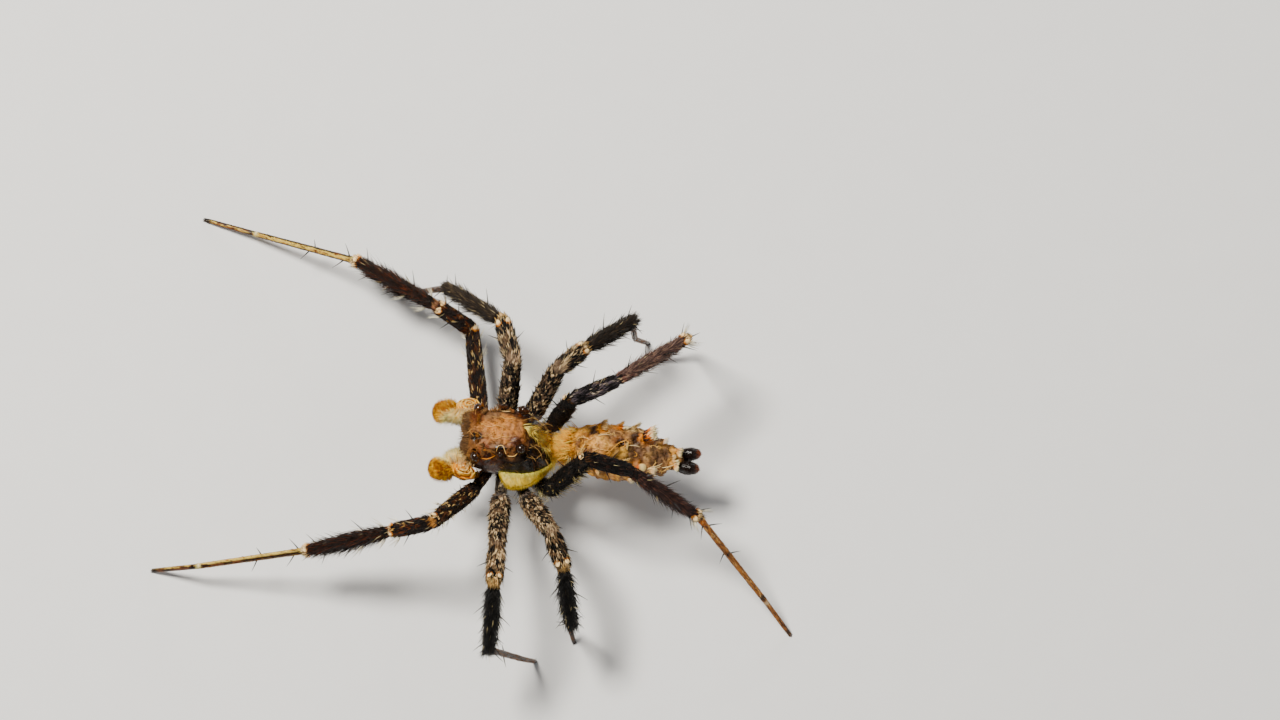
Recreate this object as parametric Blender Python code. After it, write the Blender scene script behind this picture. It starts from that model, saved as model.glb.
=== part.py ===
"""A fringed jumping spider at life size, standing on its eight feet.

The body lies along X with the head towards -X and the left side towards -Y.
Sizes below are in millimetres of the real animal.
"""

import math

import bmesh
import bpy
from mathutils import Matrix, Vector

MM = 0.001
UP = Vector((0, 0, 1))
GAP = 0.05  # between pieces that meet face to face

# Prosoma: the carapace's own frame, rolled so that the left flank shows
PROSOMA_AT = (-1.30, 0.0, 2.50)
PROSOMA_ROLL = math.radians(-12)
CARAPACE_SIDES = 24
# x, half width low down, half width on top, lowest z, highest z
CARAPACE_STATIONS = (
    (-1.19, 0.50, 0.48, -0.20, 0.36),
    (-1.13, 0.68, 0.64, -0.34, 0.54),
    (-0.95, 0.77, 0.72, -0.46, 0.64),
    (-0.62, 0.85, 0.74, -0.60, 0.70),
    (-0.25, 0.93, 0.73, -0.62, 0.76),
    (0.08, 0.99, 0.70, -0.62, 0.82),
    (0.34, 1.01, 0.64, -0.62, 0.82),
    (0.56, 0.98, 0.56, -0.62, 0.64),
    (0.80, 0.86, 0.46, -0.62, 0.34),
    (1.00, 0.66, 0.36, -0.60, 0.02),
    (1.14, 0.40, 0.24, -0.52, -0.22),
)
BOX_POWER = 2.7
ROUND = 2.0  # the power that makes a cross section an ellipse

# Eyes in the prosoma's frame: x, distance from the midline, z, radius
EYES = {
    "eye_front_middle": (-1.06, 0.27, 0.20, 0.25),
    "eye_front_side": (-0.86, 0.70, 0.44, 0.14),
    "eye_rear_middle": (-0.22, 0.68, 0.66, 0.085),
    "eye_rear_side": (0.31, 0.56, 0.78, 0.13),
}
# Mounds that carry the smaller eyes: radius beyond the eye's own, and how far below its centre
MOUND_EXTRA = 0.06
MOUND_DROP = 0.05
SMALL_EYE = 0.1
MOUND_SIDES = (12, 7)
SMALL_MOUND_SIDES = (10, 6)
LARGE_EYE = 0.2
LARGE_EYE_SIDES = (16, 10)
EYE_SIDES = (12, 6)

# Head tufts in the prosoma's frame, on both sides: root, lean, length
HEAD_TUFTS = (
    ((-0.62, 0.58, 0.62), (-0.75, 0.55, 0.35), 0.30),
    ((-0.44, 0.64, 0.66), (-0.10, 0.85, 0.45), 0.30),
    ((-0.74, 0.30, 0.58), (-0.80, 0.10, 0.50), 0.24),
    ((0.02, 0.62, 0.72), (-0.30, 0.60, 0.60), 0.24),
    ((-0.98, 0.60, 0.16), (-0.75, 0.60, 0.10), 0.26),
)
HEAD_TUFT_WIDTH = 0.12
HEAD_TUFT_CURL = 0.25

# Under side
STERNUM_HALF_WIDTH = 0.36
STERNUM_X = (-0.62, 0.70)
STERNUM_Z = (-1.00, -0.67)
STERNUM_EDGE = 0.08  # height of its rounded lower edge
STERNUM_LOW_SHARE = 0.80
STERNUM_SIDES = 20

# Chelicerae and mouthparts, in the prosoma's frame
CHELICERA_TOP = (-1.02, 0.25, -0.42)
CHELICERA_TIP = (-1.12, 0.22, -1.06)
CHELICERA_RADIUS = 0.20
# Share of the way down and share of the radius
CHELICERA_PROFILE = ((0.0, 0.6), (0.12, 0.92), (0.45, 1.0), (0.8, 0.8), (1.0, 0.45))
# The fang's places from the tip of the jaw, and its radii
FANG_PATH = (
    ((0.02, 0.0, 0.06), 0.06),
    ((0.02, -0.03, -0.09), 0.045),
    ((0.10, -0.08, -0.14), 0.012),
)

# Palps, in the prosoma's frame, as places of the joints on the right side
PALP_JOINTS = (
    (-0.78, 0.62, -0.78),
    (-1.16, 0.90, -0.30),
    (-1.42, 0.86, -0.06),
    (-1.66, 0.80, -0.08),
)
PALP_RADII = (0.13, 0.17, 0.18, 0.19)
PALP_TIP = (-2.02, 0.74, -0.24)
PALP_TIP_RADIUS = 0.22
# Share of the way to the palp's tip and share of its radius
PALP_TIP_PROFILE = (
    (-0.3, 0.7), (0.15, 0.95), (0.5, 1.2), (0.85, 1.15), (1.1, 0.85), (1.25, 0.4)
)
# The pale fan inside the stalk: share along each segment, and how far each lock leans forwards
PALP_FAN_ROWS = ((0.2, 0.35), (0.55, 0.45), (0.9, 0.55))
PALP_FAN_IN = 0.06
PALP_FAN_RISE = 0.25
PALP_FAN_LENGTH = 0.44
PALP_FAN_WIDTH = 0.16
# Rows of the palp's brush: share along the tip, lean from its axis, and length
PALP_ROWS = ((0.25, 48, 0.40), (0.75, 38, 0.42), (1.05, 18, 0.42))
PALP_LOCKS_A_ROW = 5
PALP_LOCK_WIDTH = 0.20

# Pedicel and abdomen
PEDICEL_FROM = (-0.20, 0.0, 2.20)
PEDICEL_TO = (0.10, 0.0, 2.26)
PEDICEL_RADIUS = 0.13
ABDOMEN_AT = (0.0, 0.0, 2.36)
ABDOMEN_YAW = math.radians(-2.5)
ABDOMEN_SIDES = 24
# x, half width, lowest z, highest z
ABDOMEN_STATIONS = (
    (0.10, 0.24, -0.30, 0.22),
    (0.24, 0.42, -0.44, 0.42),
    (0.50, 0.60, -0.58, 0.60),
    (0.90, 0.71, -0.66, 0.70),
    (1.35, 0.75, -0.68, 0.72),
    (1.80, 0.72, -0.64, 0.68),
    (2.25, 0.62, -0.54, 0.58),
    (2.65, 0.49, -0.42, 0.44),
    (2.98, 0.34, -0.30, 0.28),
    (3.18, 0.20, -0.20, 0.14),
)
# Spinnerets: start and end in the abdomen's frame, distance from the midline and radius
SPINNERETS = (
    ((3.16, 0.17, -0.02), (3.62, 0.21, 0.00), 0.15),
    ((3.10, 0.15, -0.26), (3.46, 0.18, -0.34), 0.12),
)
SPINNERET_PROFILE = ((0.0, 1.1), (0.3, 1.05), (0.7, 0.95), (0.92, 0.8), (1.0, 0.5))
# The ball that joins their roots
HUB_AT = (3.16, 0.0, -0.12)
HUB_RADIUS = 0.17

# Legs: lengths of femur, patella, tibia, metatarsus and tarsus
LEG_LENGTHS = {
    1: (2.60, 1.25, 2.45, 3.15, 1.40),
    2: (2.40, 1.15, 1.85, 2.25, 1.00),
    3: (2.10, 0.95, 1.50, 2.00, 0.90),
    4: (2.75, 1.25, 2.40, 3.00, 1.30),
}
# Inner end and outer end of each coxa on the right side, in the prosoma's frame
COXAE = {
    1: ((-0.52, 0.40, -0.86), (-0.82, 0.98, -0.78)),
    2: ((-0.17, 0.40, -0.86), (-0.16, 1.18, -0.78)),
    3: ((0.19, 0.40, -0.86), (0.48, 1.16, -0.78)),
    4: ((0.54, 0.38, -0.86), (1.06, 0.95, -0.74)),
}
COXA_RADIUS = 0.165
FEMUR_RADIUS = 0.22
PATELLA_RADIUS = 0.19
TIBIA_RADIUS = 0.18
METATARSUS_RADIUS = 0.10
TARSUS_RADIUS = 0.075
# Along each segment: share of its length and share of its radius
COXA_PROFILE = ((0.0, 1.0), (0.5, 1.1), (1.0, 1.0))
FEMUR_PROFILE = ((0.0, 0.80), (0.15, 0.95), (0.4, 1.0), (0.7, 0.92), (0.9, 0.82), (1.0, 0.80))
PATELLA_PROFILE = ((0.0, 0.95), (0.3, 1.05), (0.7, 1.05), (1.0, 0.90))
TIBIA_PROFILE = ((0.0, 0.90), (0.2, 1.0), (0.5, 1.0), (0.8, 0.82), (1.0, 0.62))
METATARSUS_PROFILE = ((0.0, 1.2), (0.08, 1.05), (0.97, 0.85))
TARSUS_PROFILE = ((0.08, 1.1), (0.92, 0.9))
OVERRUN = 0.30  # how far a segment runs past its joints before they are cut
LIMB_RESOLUTION = 2
FINE_RESOLUTION = 1  # for fangs and spinnerets

# Pose: heading from +X towards +Y and pitch above level, in degrees, femur first.
# The tarsus has no pitch of its own: it comes down to the floor.
POSES = {
    "leg1_right": ((99, 159, 152, 162, 164), (-9, 36, -6, -23)),
    "leg1_left": ((-124, -173, -170, -174, 179), (46, -32, -26, -23)),
    "leg2_right": ((83, 107, 148, 148, 148), (68, -11, -16, -69)),
    "leg2_left": ((-89, -90, -91, 21, 35), (43, 20, -32, -66)),
    "leg3_right": ((53, 46, 37, 29, 22), (60, -13, -9, -87)),
    "leg3_left": ((-59, -67, -78, 102, -61), (45, -6, -22, -75)),
    "leg4_right": ((-3, 26, 39, 100, -160), (80, 9, -16, -77)),
    "leg4_left": ((14, -5, -23, -42, -43), (68, -27, -33, -36)),
}
FOOT_HEIGHT = 0.04  # of the tarsus's middle line above the floor at its tip
FOOT_OVERRUN = 0.06  # past that tip, before the floor cuts it flat
TARSUS_END = 0.8  # share of the tarsus's radius at its tip
# A tibia whose fringe stays clear of the foot that passes beside it
FOOT_BESIDE_TIBIA = {"leg1_right": "leg2_right"}
FOOT_CLEARANCE = 0.08
HIDDEN_SPINES_FROM = 0.3  # past this share, the foot beside a tibia has no spines

# Coat in the solids: flat tapered locks and thin spines
LOCK_THICKNESS = 0.07
TUFT_THICKNESS = 0.085
# A lock's two cross sections: share of its length, of its width and of its thickness
LOCK_PROFILE = ((0.0, 0.75, 1.0), (0.55, 1.0, 0.8))
LIMB_CURL = 0.18
ROOT_SHARE = 0.45  # of a limb's radius, where a lock or spine has its root
SPINE_RADIUS = 0.028
SPINE_SIDES = 5
SPINE_LEAN = 0.55  # along the limb, for each 1 outwards
CUTTER_SIZE = 12.0
WELD = 0.002
FLAT_ANGLE = math.radians(1.0)  # faces that differ by less are one before they are triangles
# Tibia fringe of each leg pair: its rows along the segment, and its lengths under and over it
TIBIA_ROWS = {
    1: (0.12, 0.32, 0.52, 0.72, 0.90),
    2: (0.15, 0.40, 0.65, 0.88),
    3: (0.18, 0.44, 0.68, 0.90),
    4: (0.13, 0.33, 0.53, 0.73, 0.91),
}
TIBIA_UNDER = {1: 0.62, 2: 0.58, 3: 0.62, 4: 0.48}
TIBIA_OVER = {1: 0.50, 2: 0.44, 3: 0.44, 4: 0.38}
TIBIA_LOCK_WIDTH = 0.24
FRINGE_LEAN = 44  # degrees from the limb
# Share of the full length at the tibia's ends, and what its middle adds
FRINGE_AT_ENDS = 0.75
FRINGE_SWELL = 0.35
# Degrees round from the under side and from the upper side, row by row
FRINGE_UNDER_ANGLES = (52, 28)
FRINGE_OVER_ANGLES = (-25, 25)
# Tufts of the femur and the patella: share along it, degrees round from its upper side
FEMUR_TUFTS = ((0.35, 180), (0.60, 180), (0.82, 180))
PATELLA_TUFTS = ((0.45, 0), (0.45, 180))
LIMB_TUFT_LEAN = 39
LIMB_TUFT_LENGTH = 0.48
LIMB_TUFT_WIDTH = 0.25
# Spines: share along the segment, degrees round from its upper side, length
FEMUR_SPINES = ((0.35, 20, 0.42), (0.62, -25, 0.46), (0.82, 15, 0.40))
PATELLA_SPINES = ((0.45, 85, 0.36), (0.55, -85, 0.36))
TIBIA_SPINES = ((0.30, 60, 0.46), (0.45, -70, 0.46), (0.68, 140, 0.48), (0.80, -130, 0.44))
FOOT_SPINES = ((0.08, 70, 0.34), (0.12, -80, 0.34), (0.42, 110, 0.30), (0.46, -100, 0.30))

# Abdomen tufts: x, degrees from the top towards the right side, length, locks
ABDOMEN_TUFTS = (
    (0.95, 50, 0.26, 3),
    (0.95, -52, 0.26, 3),
    (1.45, 66, 0.24, 3),
    (1.50, -66, 0.24, 3),
    (1.85, 76, 0.28, 3),
    (1.62, 2, 0.22, 3),
    (2.10, 36, 0.40, 4),
    (2.05, -44, 0.34, 4),
    (2.38, -54, 0.30, 2),
    (2.62, 42, 0.30, 3),
    (3.00, 30, 0.20, 2),
    (3.00, -34, 0.20, 2),
)
TUFT_WIDTH = 0.16
TUFT_ROOT = 0.85  # share of the way from the abdomen's middle line to its surface
TUFT_SUNK = 0.08  # length inside the abdomen
TUFT_RISE = 0.75
TUFT_BACK = 0.66
TUFT_SPREAD = 0.55
TUFT_CURL = 0.15
BACKWARDS = Vector((1, 0, 0))
# Pale hair over the waist, on the front of the abdomen
WAIST_ANGLES = (-52, -26, 0, 26, 52)
WAIST_X = 0.34
WAIST_LENGTH = 0.40
WAIST_CURL = 0.3

# Materials: colour, roughness, metallic
FINISHES = {
    "carapace": ((0.40, 0.20, 0.09), 0.55, 0.0),
    "eye": ((0.02, 0.015, 0.012), 0.12, 0.0),
    "under_side": ((0.10, 0.06, 0.04), 0.6, 0.0),
    "abdomen": ((0.36, 0.20, 0.12), 0.8, 0.0),
    "palp": ((0.60, 0.33, 0.10), 0.8, 0.0),
    "leg_dark": ((0.06, 0.035, 0.03), 0.7, 0.0),
    "leg_pale": ((0.62, 0.40, 0.18), 0.6, 0.0),
    "spinneret": ((0.03, 0.015, 0.012), 0.5, 0.0),
}

COLLECTION = "fringed_jumping_spider"


def clear_scene():
    for obj in list(bpy.data.objects):
        bpy.data.objects.remove(obj, do_unlink=True)
    home = bpy.data.collections.new(COLLECTION)
    bpy.context.scene.collection.children.link(home)
    return home


def finish(name):
    """The Principled material of that name, made once."""
    found = bpy.data.materials.get(name)
    if found:
        return found
    colour, roughness, metallic = FINISHES[name]
    made = bpy.data.materials.new(name)
    made.use_nodes = True
    shader = made.node_tree.nodes["Principled BSDF"]
    shader.inputs["Base Color"].default_value = (*colour, 1.0)
    shader.inputs["Roughness"].default_value = roughness
    shader.inputs["Metallic"].default_value = metallic
    return made


def add_object(name, mesh, collection):
    obj = bpy.data.objects.new(name, mesh)
    collection.objects.link(obj)
    return obj


def loft(name, rings, collection):
    """A closed body over rings of points that all have the same count, with a fan at each end."""
    mesh = bpy.data.meshes.new(name)
    bm = bmesh.new()
    made = [[bm.verts.new(point) for point in ring] for ring in rings]
    count = len(rings[0])
    for low, high in zip(made, made[1:]):
        for k in range(count):
            bm.faces.new((low[k], low[(k + 1) % count], high[(k + 1) % count], high[k]))
    for ring, backwards in ((made[0], True), (made[-1], False)):
        middle = sum((v.co for v in ring), Vector()) / count
        hub = bm.verts.new(middle)
        for k in range(count):
            pair = (ring[k], ring[(k + 1) % count])
            bm.faces.new((hub, *(reversed(pair) if backwards else pair)))
    bmesh.ops.recalc_face_normals(bm, faces=bm.faces)
    bm.to_mesh(mesh)
    bm.free()
    return add_object(name, mesh, collection)


def power(value, exponent):
    return math.copysign(abs(value) ** exponent, value)


def station_ring(x, low_half, high_half, low, high, sides, box_power, grow=0.0):
    """One cross section: a rounded box whose half width changes from its foot to its top."""
    points = []
    for k in range(sides):
        angle = 2 * math.pi * k / sides
        across = power(math.cos(angle), 2 / box_power)
        up = power(math.sin(angle), 2 / box_power)
        half = low_half + (high_half - low_half) * (up + 1) / 2 + grow
        z = (low + high) / 2 + up * ((high - low) / 2 + grow)
        points.append(Vector((x, across * half, z)) * MM)
    return points


def end_shift(x, stations, grow):
    """How far the first and the last cross section move outwards when a body is grown."""
    if x == stations[0][0]:
        return -grow
    if x == stations[-1][0]:
        return grow
    return 0.0


def prosoma_matrix():
    return Matrix.Translation(Vector(PROSOMA_AT) * MM) @ Matrix.Rotation(PROSOMA_ROLL, 4, "X")


def abdomen_matrix():
    return Matrix.Translation(Vector(ABDOMEN_AT) * MM) @ Matrix.Rotation(ABDOMEN_YAW, 4, "Z")


def place(obj, matrix):
    obj.data.transform(matrix)
    obj.data.update()
    return obj


def mirrored(point, side):
    """A point given for the right side, on the side asked for: 1 is right and -1 is left."""
    return Vector((point[0], point[1] * side, point[2])) * MM


def tube(name, points, radii, collection, resolution=LIMB_RESOLUTION):
    """A closed tube along points, made as a bevelled curve and turned into a welded mesh."""
    curve = bpy.data.curves.new(name, "CURVE")
    curve.dimensions = "3D"
    curve.bevel_depth = 1.0
    curve.bevel_resolution = resolution
    curve.use_fill_caps = True
    spline = curve.splines.new("POLY")
    spline.points.add(len(points) - 1)
    for slot, point, radius in zip(spline.points, points, radii):
        slot.co = (*point, 1.0)
        slot.radius = radius * MM
    guide = bpy.data.objects.new(name + "_guide", curve)
    collection.objects.link(guide)
    depsgraph = bpy.context.evaluated_depsgraph_get()
    mesh = bpy.data.meshes.new_from_object(guide.evaluated_get(depsgraph))
    bpy.data.objects.remove(guide, do_unlink=True)
    bpy.data.curves.remove(curve)
    bm = bmesh.new()
    bm.from_mesh(mesh)
    bmesh.ops.remove_doubles(bm, verts=bm.verts, dist=1e-7)
    bmesh.ops.recalc_face_normals(bm, faces=bm.faces)
    bm.to_mesh(mesh)
    bm.free()
    mesh.name = name
    return add_object(name, mesh, collection)


def ball(name, centre, radius, collection, segments=16, rings=10):
    mesh = bpy.data.meshes.new(name)
    bm = bmesh.new()
    bmesh.ops.create_uvsphere(bm, u_segments=segments, v_segments=rings, radius=radius * MM)
    bmesh.ops.translate(bm, verts=bm.verts, vec=centre)
    bm.to_mesh(mesh)
    bm.free()
    return add_object(name, mesh, collection)


def lock(root, way, face, length, width, curl, home, thickness=LOCK_THICKNESS):
    """A flat tapered lock: it starts along way, and its tip curls back against face."""
    across = way.cross(face).normalized()
    face = across.cross(way).normalized()
    rings = []
    for share, spread, depth in LOCK_PROFILE:
        middle = root + (way * share - face * curl * share * share) * length * MM
        half = across * width * spread / 2 * MM
        rise = face * thickness * depth / 2 * MM
        rings.append([middle - half, middle - rise, middle + half, middle + rise])
    tip = root + (way - face * curl) * length * MM
    mesh = bpy.data.meshes.new("lock")
    bm = bmesh.new()
    low, high = [[bm.verts.new(point) for point in ring] for ring in rings]
    end = bm.verts.new(tip)
    for k, corner in enumerate(low):
        after = (k + 1) % len(low)
        bm.faces.new((corner, low[after], high[after], high[k]))
        bm.faces.new((high[k], high[after], end))
    bm.faces.new(low)
    bmesh.ops.recalc_face_normals(bm, faces=bm.faces)
    bm.to_mesh(mesh)
    bm.free()
    return add_object("lock", mesh, home)


def spine(root, way, length, home):
    """A thin stiff spine, as a slim cone."""
    mesh = bpy.data.meshes.new("spine")
    bm = bmesh.new()
    bmesh.ops.create_cone(
        bm,
        cap_ends=True,
        segments=SPINE_SIDES,
        radius1=SPINE_RADIUS * MM,
        radius2=0.0,
        depth=length * MM,
    )
    bmesh.ops.translate(bm, verts=bm.verts, vec=(0, 0, length / 2 * MM))
    turn = way.to_track_quat("Z", "Y").to_matrix().to_4x4()
    bmesh.ops.transform(bm, matrix=Matrix.Translation(root) @ turn, verts=bm.verts)
    bm.to_mesh(mesh)
    bm.free()
    return add_object("spine", mesh, home)


def upper_side(way):
    """The direction square to way that looks most nearly up."""
    return way.cross(UP.cross(way)).normalized()


def around(way, angle):
    """Square to way, at an angle in degrees from its upper side."""
    return Matrix.Rotation(math.radians(angle), 3, way) @ upper_side(way)


def limb_lock(start, way, reach, radius, angle, lean, length, width, home):
    """A lock on a limb, rooted inside it and leaning towards its far end."""
    out = around(way, angle)
    root = start + way * reach + out * radius * ROOT_SHARE * MM
    lean = math.radians(lean)
    along = way * math.cos(lean) + out * math.sin(lean)
    return lock(root, along, out, length, width, LIMB_CURL, home)


def limb_tufts(start, end, radius, places, home):
    way = (end - start).normalized()
    length = (end - start).length
    made = []
    for share, angle in places:
        made.append(
            limb_lock(start, way, share * length, radius, angle, LIMB_TUFT_LEAN,
                      LIMB_TUFT_LENGTH, LIMB_TUFT_WIDTH, home)
        )
    return made


def limb_spines(start, end, radius, places, home):
    way = (end - start).normalized()
    made = []
    for share, angle, length in places:
        out = around(way, angle)
        root = start.lerp(end, share) + out * radius * ROOT_SHARE * MM
        along = (out + way * SPINE_LEAN).normalized()
        made.append(spine(root, along, length + radius * (1 - ROOT_SHARE), home))
    return made


def apply_modifiers(obj):
    depsgraph = bpy.context.evaluated_depsgraph_get()
    mesh = bpy.data.meshes.new_from_object(obj.evaluated_get(depsgraph))
    obj.modifiers.clear()
    obj.data = mesh
    return obj


def keep_largest(obj):
    """Only the node's largest closed surface stays."""
    bm = bmesh.new()
    bm.from_mesh(obj.data)
    left = set(bm.faces)
    islands = []
    while left:
        stack = [left.pop()]
        island = set(stack)
        while stack:
            face = stack.pop()
            for edge in face.edges:
                for other in edge.link_faces:
                    if other in left:
                        left.discard(other)
                        island.add(other)
                        stack.append(other)
        islands.append(island)
    islands.sort(key=lambda faces: sum(f.calc_area() for f in faces), reverse=True)
    drop = [face for island in islands[1:] for face in island]
    if drop:
        bmesh.ops.delete(bm, geom=drop, context="FACES")
        loose = [v for v in bm.verts if not v.link_faces]
        bmesh.ops.delete(bm, geom=loose, context="VERTS")
    bm.to_mesh(obj.data)
    bm.free()
    return obj


def boolean(obj, pieces, operation):
    """Joins the pieces to obj, or cuts them from it, and removes them."""
    if not pieces:
        return obj
    gathered = bpy.data.collections.new("pieces")
    bpy.context.scene.collection.children.link(gathered)
    for piece in pieces:
        for user in piece.users_collection:
            user.objects.unlink(piece)
        gathered.objects.link(piece)
    modifier = obj.modifiers.new(operation.lower(), "BOOLEAN")
    modifier.operation = operation
    modifier.operand_type = "COLLECTION"
    modifier.collection = gathered
    modifier.solver = "MANIFOLD"
    apply_modifiers(obj)
    for piece in pieces:
        bpy.data.objects.remove(piece, do_unlink=True)
    bpy.data.collections.remove(gathered)
    return keep_largest(obj)


def cut_at_plane(obj, point, normal):
    """Takes off what lies beyond the plane on the side that the normal points to."""
    mesh = bpy.data.meshes.new("beyond")
    bm = bmesh.new()
    bmesh.ops.create_cube(bm, size=CUTTER_SIZE * MM)
    bmesh.ops.translate(bm, verts=bm.verts, vec=(0, 0, CUTTER_SIZE / 2 * MM))
    turn = normal.to_track_quat("Z", "Y").to_matrix().to_4x4()
    bmesh.ops.transform(bm, matrix=Matrix.Translation(point) @ turn, verts=bm.verts)
    bm.to_mesh(mesh)
    bm.free()
    home = obj.users_collection[0]
    return boolean(obj, [add_object("beyond", mesh, home)], "DIFFERENCE")


def triangles_of(obj, weld, flatten):
    """The object's surface as triangles, welded where a union left its points very close."""
    bm = bmesh.new()
    bm.from_mesh(obj.data)
    bmesh.ops.remove_doubles(bm, verts=bm.verts, dist=weld * MM)
    bmesh.ops.dissolve_degenerate(bm, edges=bm.edges, dist=weld * MM)
    if flatten:
        bmesh.ops.dissolve_limit(
            bm, angle_limit=FLAT_ANGLE, use_dissolve_boundaries=False,
            verts=bm.verts, edges=bm.edges, delimit=set(),
        )
    bmesh.ops.triangulate(bm, faces=bm.faces)
    groups = {}
    for face in bm.faces:
        groups.setdefault(frozenset(v.index for v in face.verts), []).append(face)
    folded = [face for group in groups.values() if len(group) > 1 for face in group]
    bmesh.ops.delete(bm, geom=folded, context="FACES_ONLY")
    loose = [edge for edge in bm.edges if not edge.link_faces]
    bmesh.ops.delete(bm, geom=loose, context="EDGES")
    return bm


def tidy_surface(obj):
    """Fewer triangles where the surface is flat, by the first of these ways that closes it."""
    for weld, flatten in ((WELD, True), (WELD / 10, True), (WELD, False), (0.0, False)):
        bm = triangles_of(obj, weld, flatten)
        if all(len(edge.link_faces) == 2 for edge in bm.edges):
            break
        bm.free()
        bm = None
    if bm is None:
        raise ValueError(f"{obj.name} isn't closed")
    bm.to_mesh(obj.data)
    bm.free()
    return keep_largest(obj)


def dress(obj, finish_name):
    tidy_surface(obj)
    obj.data.materials.clear()
    obj.data.materials.append(finish(finish_name))
    obj.data.shade_smooth()
    obj.data.set_sharp_from_angle(angle=math.radians(45))
    return obj


def carapace_rings(grow=0.0):
    rings = []
    for x, low_half, high_half, low, high in CARAPACE_STATIONS:
        x += end_shift(x, CARAPACE_STATIONS, grow)
        ring = station_ring(
            x, low_half, high_half, low, high, CARAPACE_SIDES, BOX_POWER, grow
        )
        rings.append(ring)
    return rings


def head_tufts(home):
    """The small pointed tufts beside and behind the eyes, on both sides."""
    made = []
    for (x, across, z), (lean_x, lean_y, lean_z), length in HEAD_TUFTS:
        for side in (1, -1):
            root = mirrored((x, across, z), side)
            way = Vector((lean_x, lean_y * side, lean_z)).normalized()
            made.append(lock(root, way, UP, length, HEAD_TUFT_WIDTH, HEAD_TUFT_CURL, home))
    return made


def build_carapace(home):
    """The shield over the head and chest, with a mound and a socket for each eye."""
    shell = loft("carapace", carapace_rings(), home)
    mounds = []
    sockets = []
    for x, across, z, radius in EYES.values():
        for side in (1, -1):
            centre = mirrored((x, across, z), side)
            drop = Vector((0, 0, MOUND_DROP * MM))
            segments, rings = SMALL_MOUND_SIDES if radius < SMALL_EYE else MOUND_SIDES
            mounds.append(
                ball("mound", centre - drop, radius + MOUND_EXTRA, home, segments, rings)
            )
            sockets.append(ball("socket", centre, radius + GAP, home, segments, rings))
    boolean(shell, mounds + head_tufts(home), "UNION")
    boolean(shell, sockets, "DIFFERENCE")
    place(shell, prosoma_matrix())
    return dress(shell, "carapace")


def build_eyes(home):
    for kind, (x, across, z, radius) in EYES.items():
        for side, word in ((1, "right"), (-1, "left")):
            segments, rings = LARGE_EYE_SIDES if radius > LARGE_EYE else EYE_SIDES
            centre = mirrored((x, across, z), side)
            eye = ball(f"{kind}_{word}", centre, radius, home, segments, rings)
            dress(place(eye, prosoma_matrix()), "eye")


def sternum_rings(grow=0.0):
    """Rings up a rounded plate, from its lower face to its upper one."""
    start, end = STERNUM_X
    low, high = STERNUM_Z
    levels = ((low - grow, STERNUM_LOW_SHARE), (low + STERNUM_EDGE, 1.0), (high + grow, 1.0))
    rings = []
    for z, share in levels:
        ring = []
        for k in range(STERNUM_SIDES):
            angle = 2 * math.pi * k / STERNUM_SIDES
            x = (start + end) / 2 + math.cos(angle) * ((end - start) / 2 * share + grow)
            y = math.sin(angle) * (STERNUM_HALF_WIDTH * share + grow)
            ring.append(Vector((x, y, z)) * MM)
        rings.append(ring)
    return rings


def build_sternum(home):
    plate = loft("sternum", sternum_rings(), home)
    dress(place(plate, prosoma_matrix()), "under_side")


def build_chelicerae(home):
    """The two jaws that hang below the front eyes, each with its fang folded at the tip."""
    for side, word in ((1, "right"), (-1, "left")):
        top = mirrored(CHELICERA_TOP, side)
        tip = mirrored(CHELICERA_TIP, side)
        points = [top.lerp(tip, share) for share, width in CHELICERA_PROFILE]
        radii = [CHELICERA_RADIUS * width for share, width in CHELICERA_PROFILE]
        jaw = tube(f"chelicera_{word}", points, radii, home)
        fang_points = [tip + mirrored(spot, side) for spot, radius in FANG_PATH]
        fang_radii = [radius for spot, radius in FANG_PATH]
        fang = tube("fang", fang_points, fang_radii, home, FINE_RESOLUTION)
        boolean(jaw, [fang], "UNION")
        boolean(jaw, [loft("clearance", carapace_rings(GAP), home)], "DIFFERENCE")
        dress(place(jaw, prosoma_matrix()), "under_side")


def palp_white_hair(joints, side, home):
    """The pale fan that each palp's bent stalk holds towards the midline."""
    inward = Vector((0, -side, 0))
    made = []
    for share, forwards in PALP_FAN_ROWS:
        for start, end in ((joints[1], joints[2]), (joints[2], joints[3])):
            root = start.lerp(end, share) + inward * PALP_FAN_IN * MM
            way = (inward + Vector((-forwards, 0, PALP_FAN_RISE))).normalized()
            made.append(
                lock(root, way, UP, PALP_FAN_LENGTH, PALP_FAN_WIDTH, LIMB_CURL, home)
            )
    return made


def palp_brush(start, tip, home):
    """The golden brush: rows of locks that fan out from the swollen tip."""
    way = (tip - start).normalized()
    length = (tip - start).length
    made = []
    for row, (share, lean, reach) in enumerate(PALP_ROWS):
        for k in range(PALP_LOCKS_A_ROW):
            angle = 360 / PALP_LOCKS_A_ROW * (k + row % 2 / 2)
            made.append(
                limb_lock(start, way, share * length, PALP_TIP_RADIUS, angle, lean,
                          reach, PALP_LOCK_WIDTH, home)
            )
    return made


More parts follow.
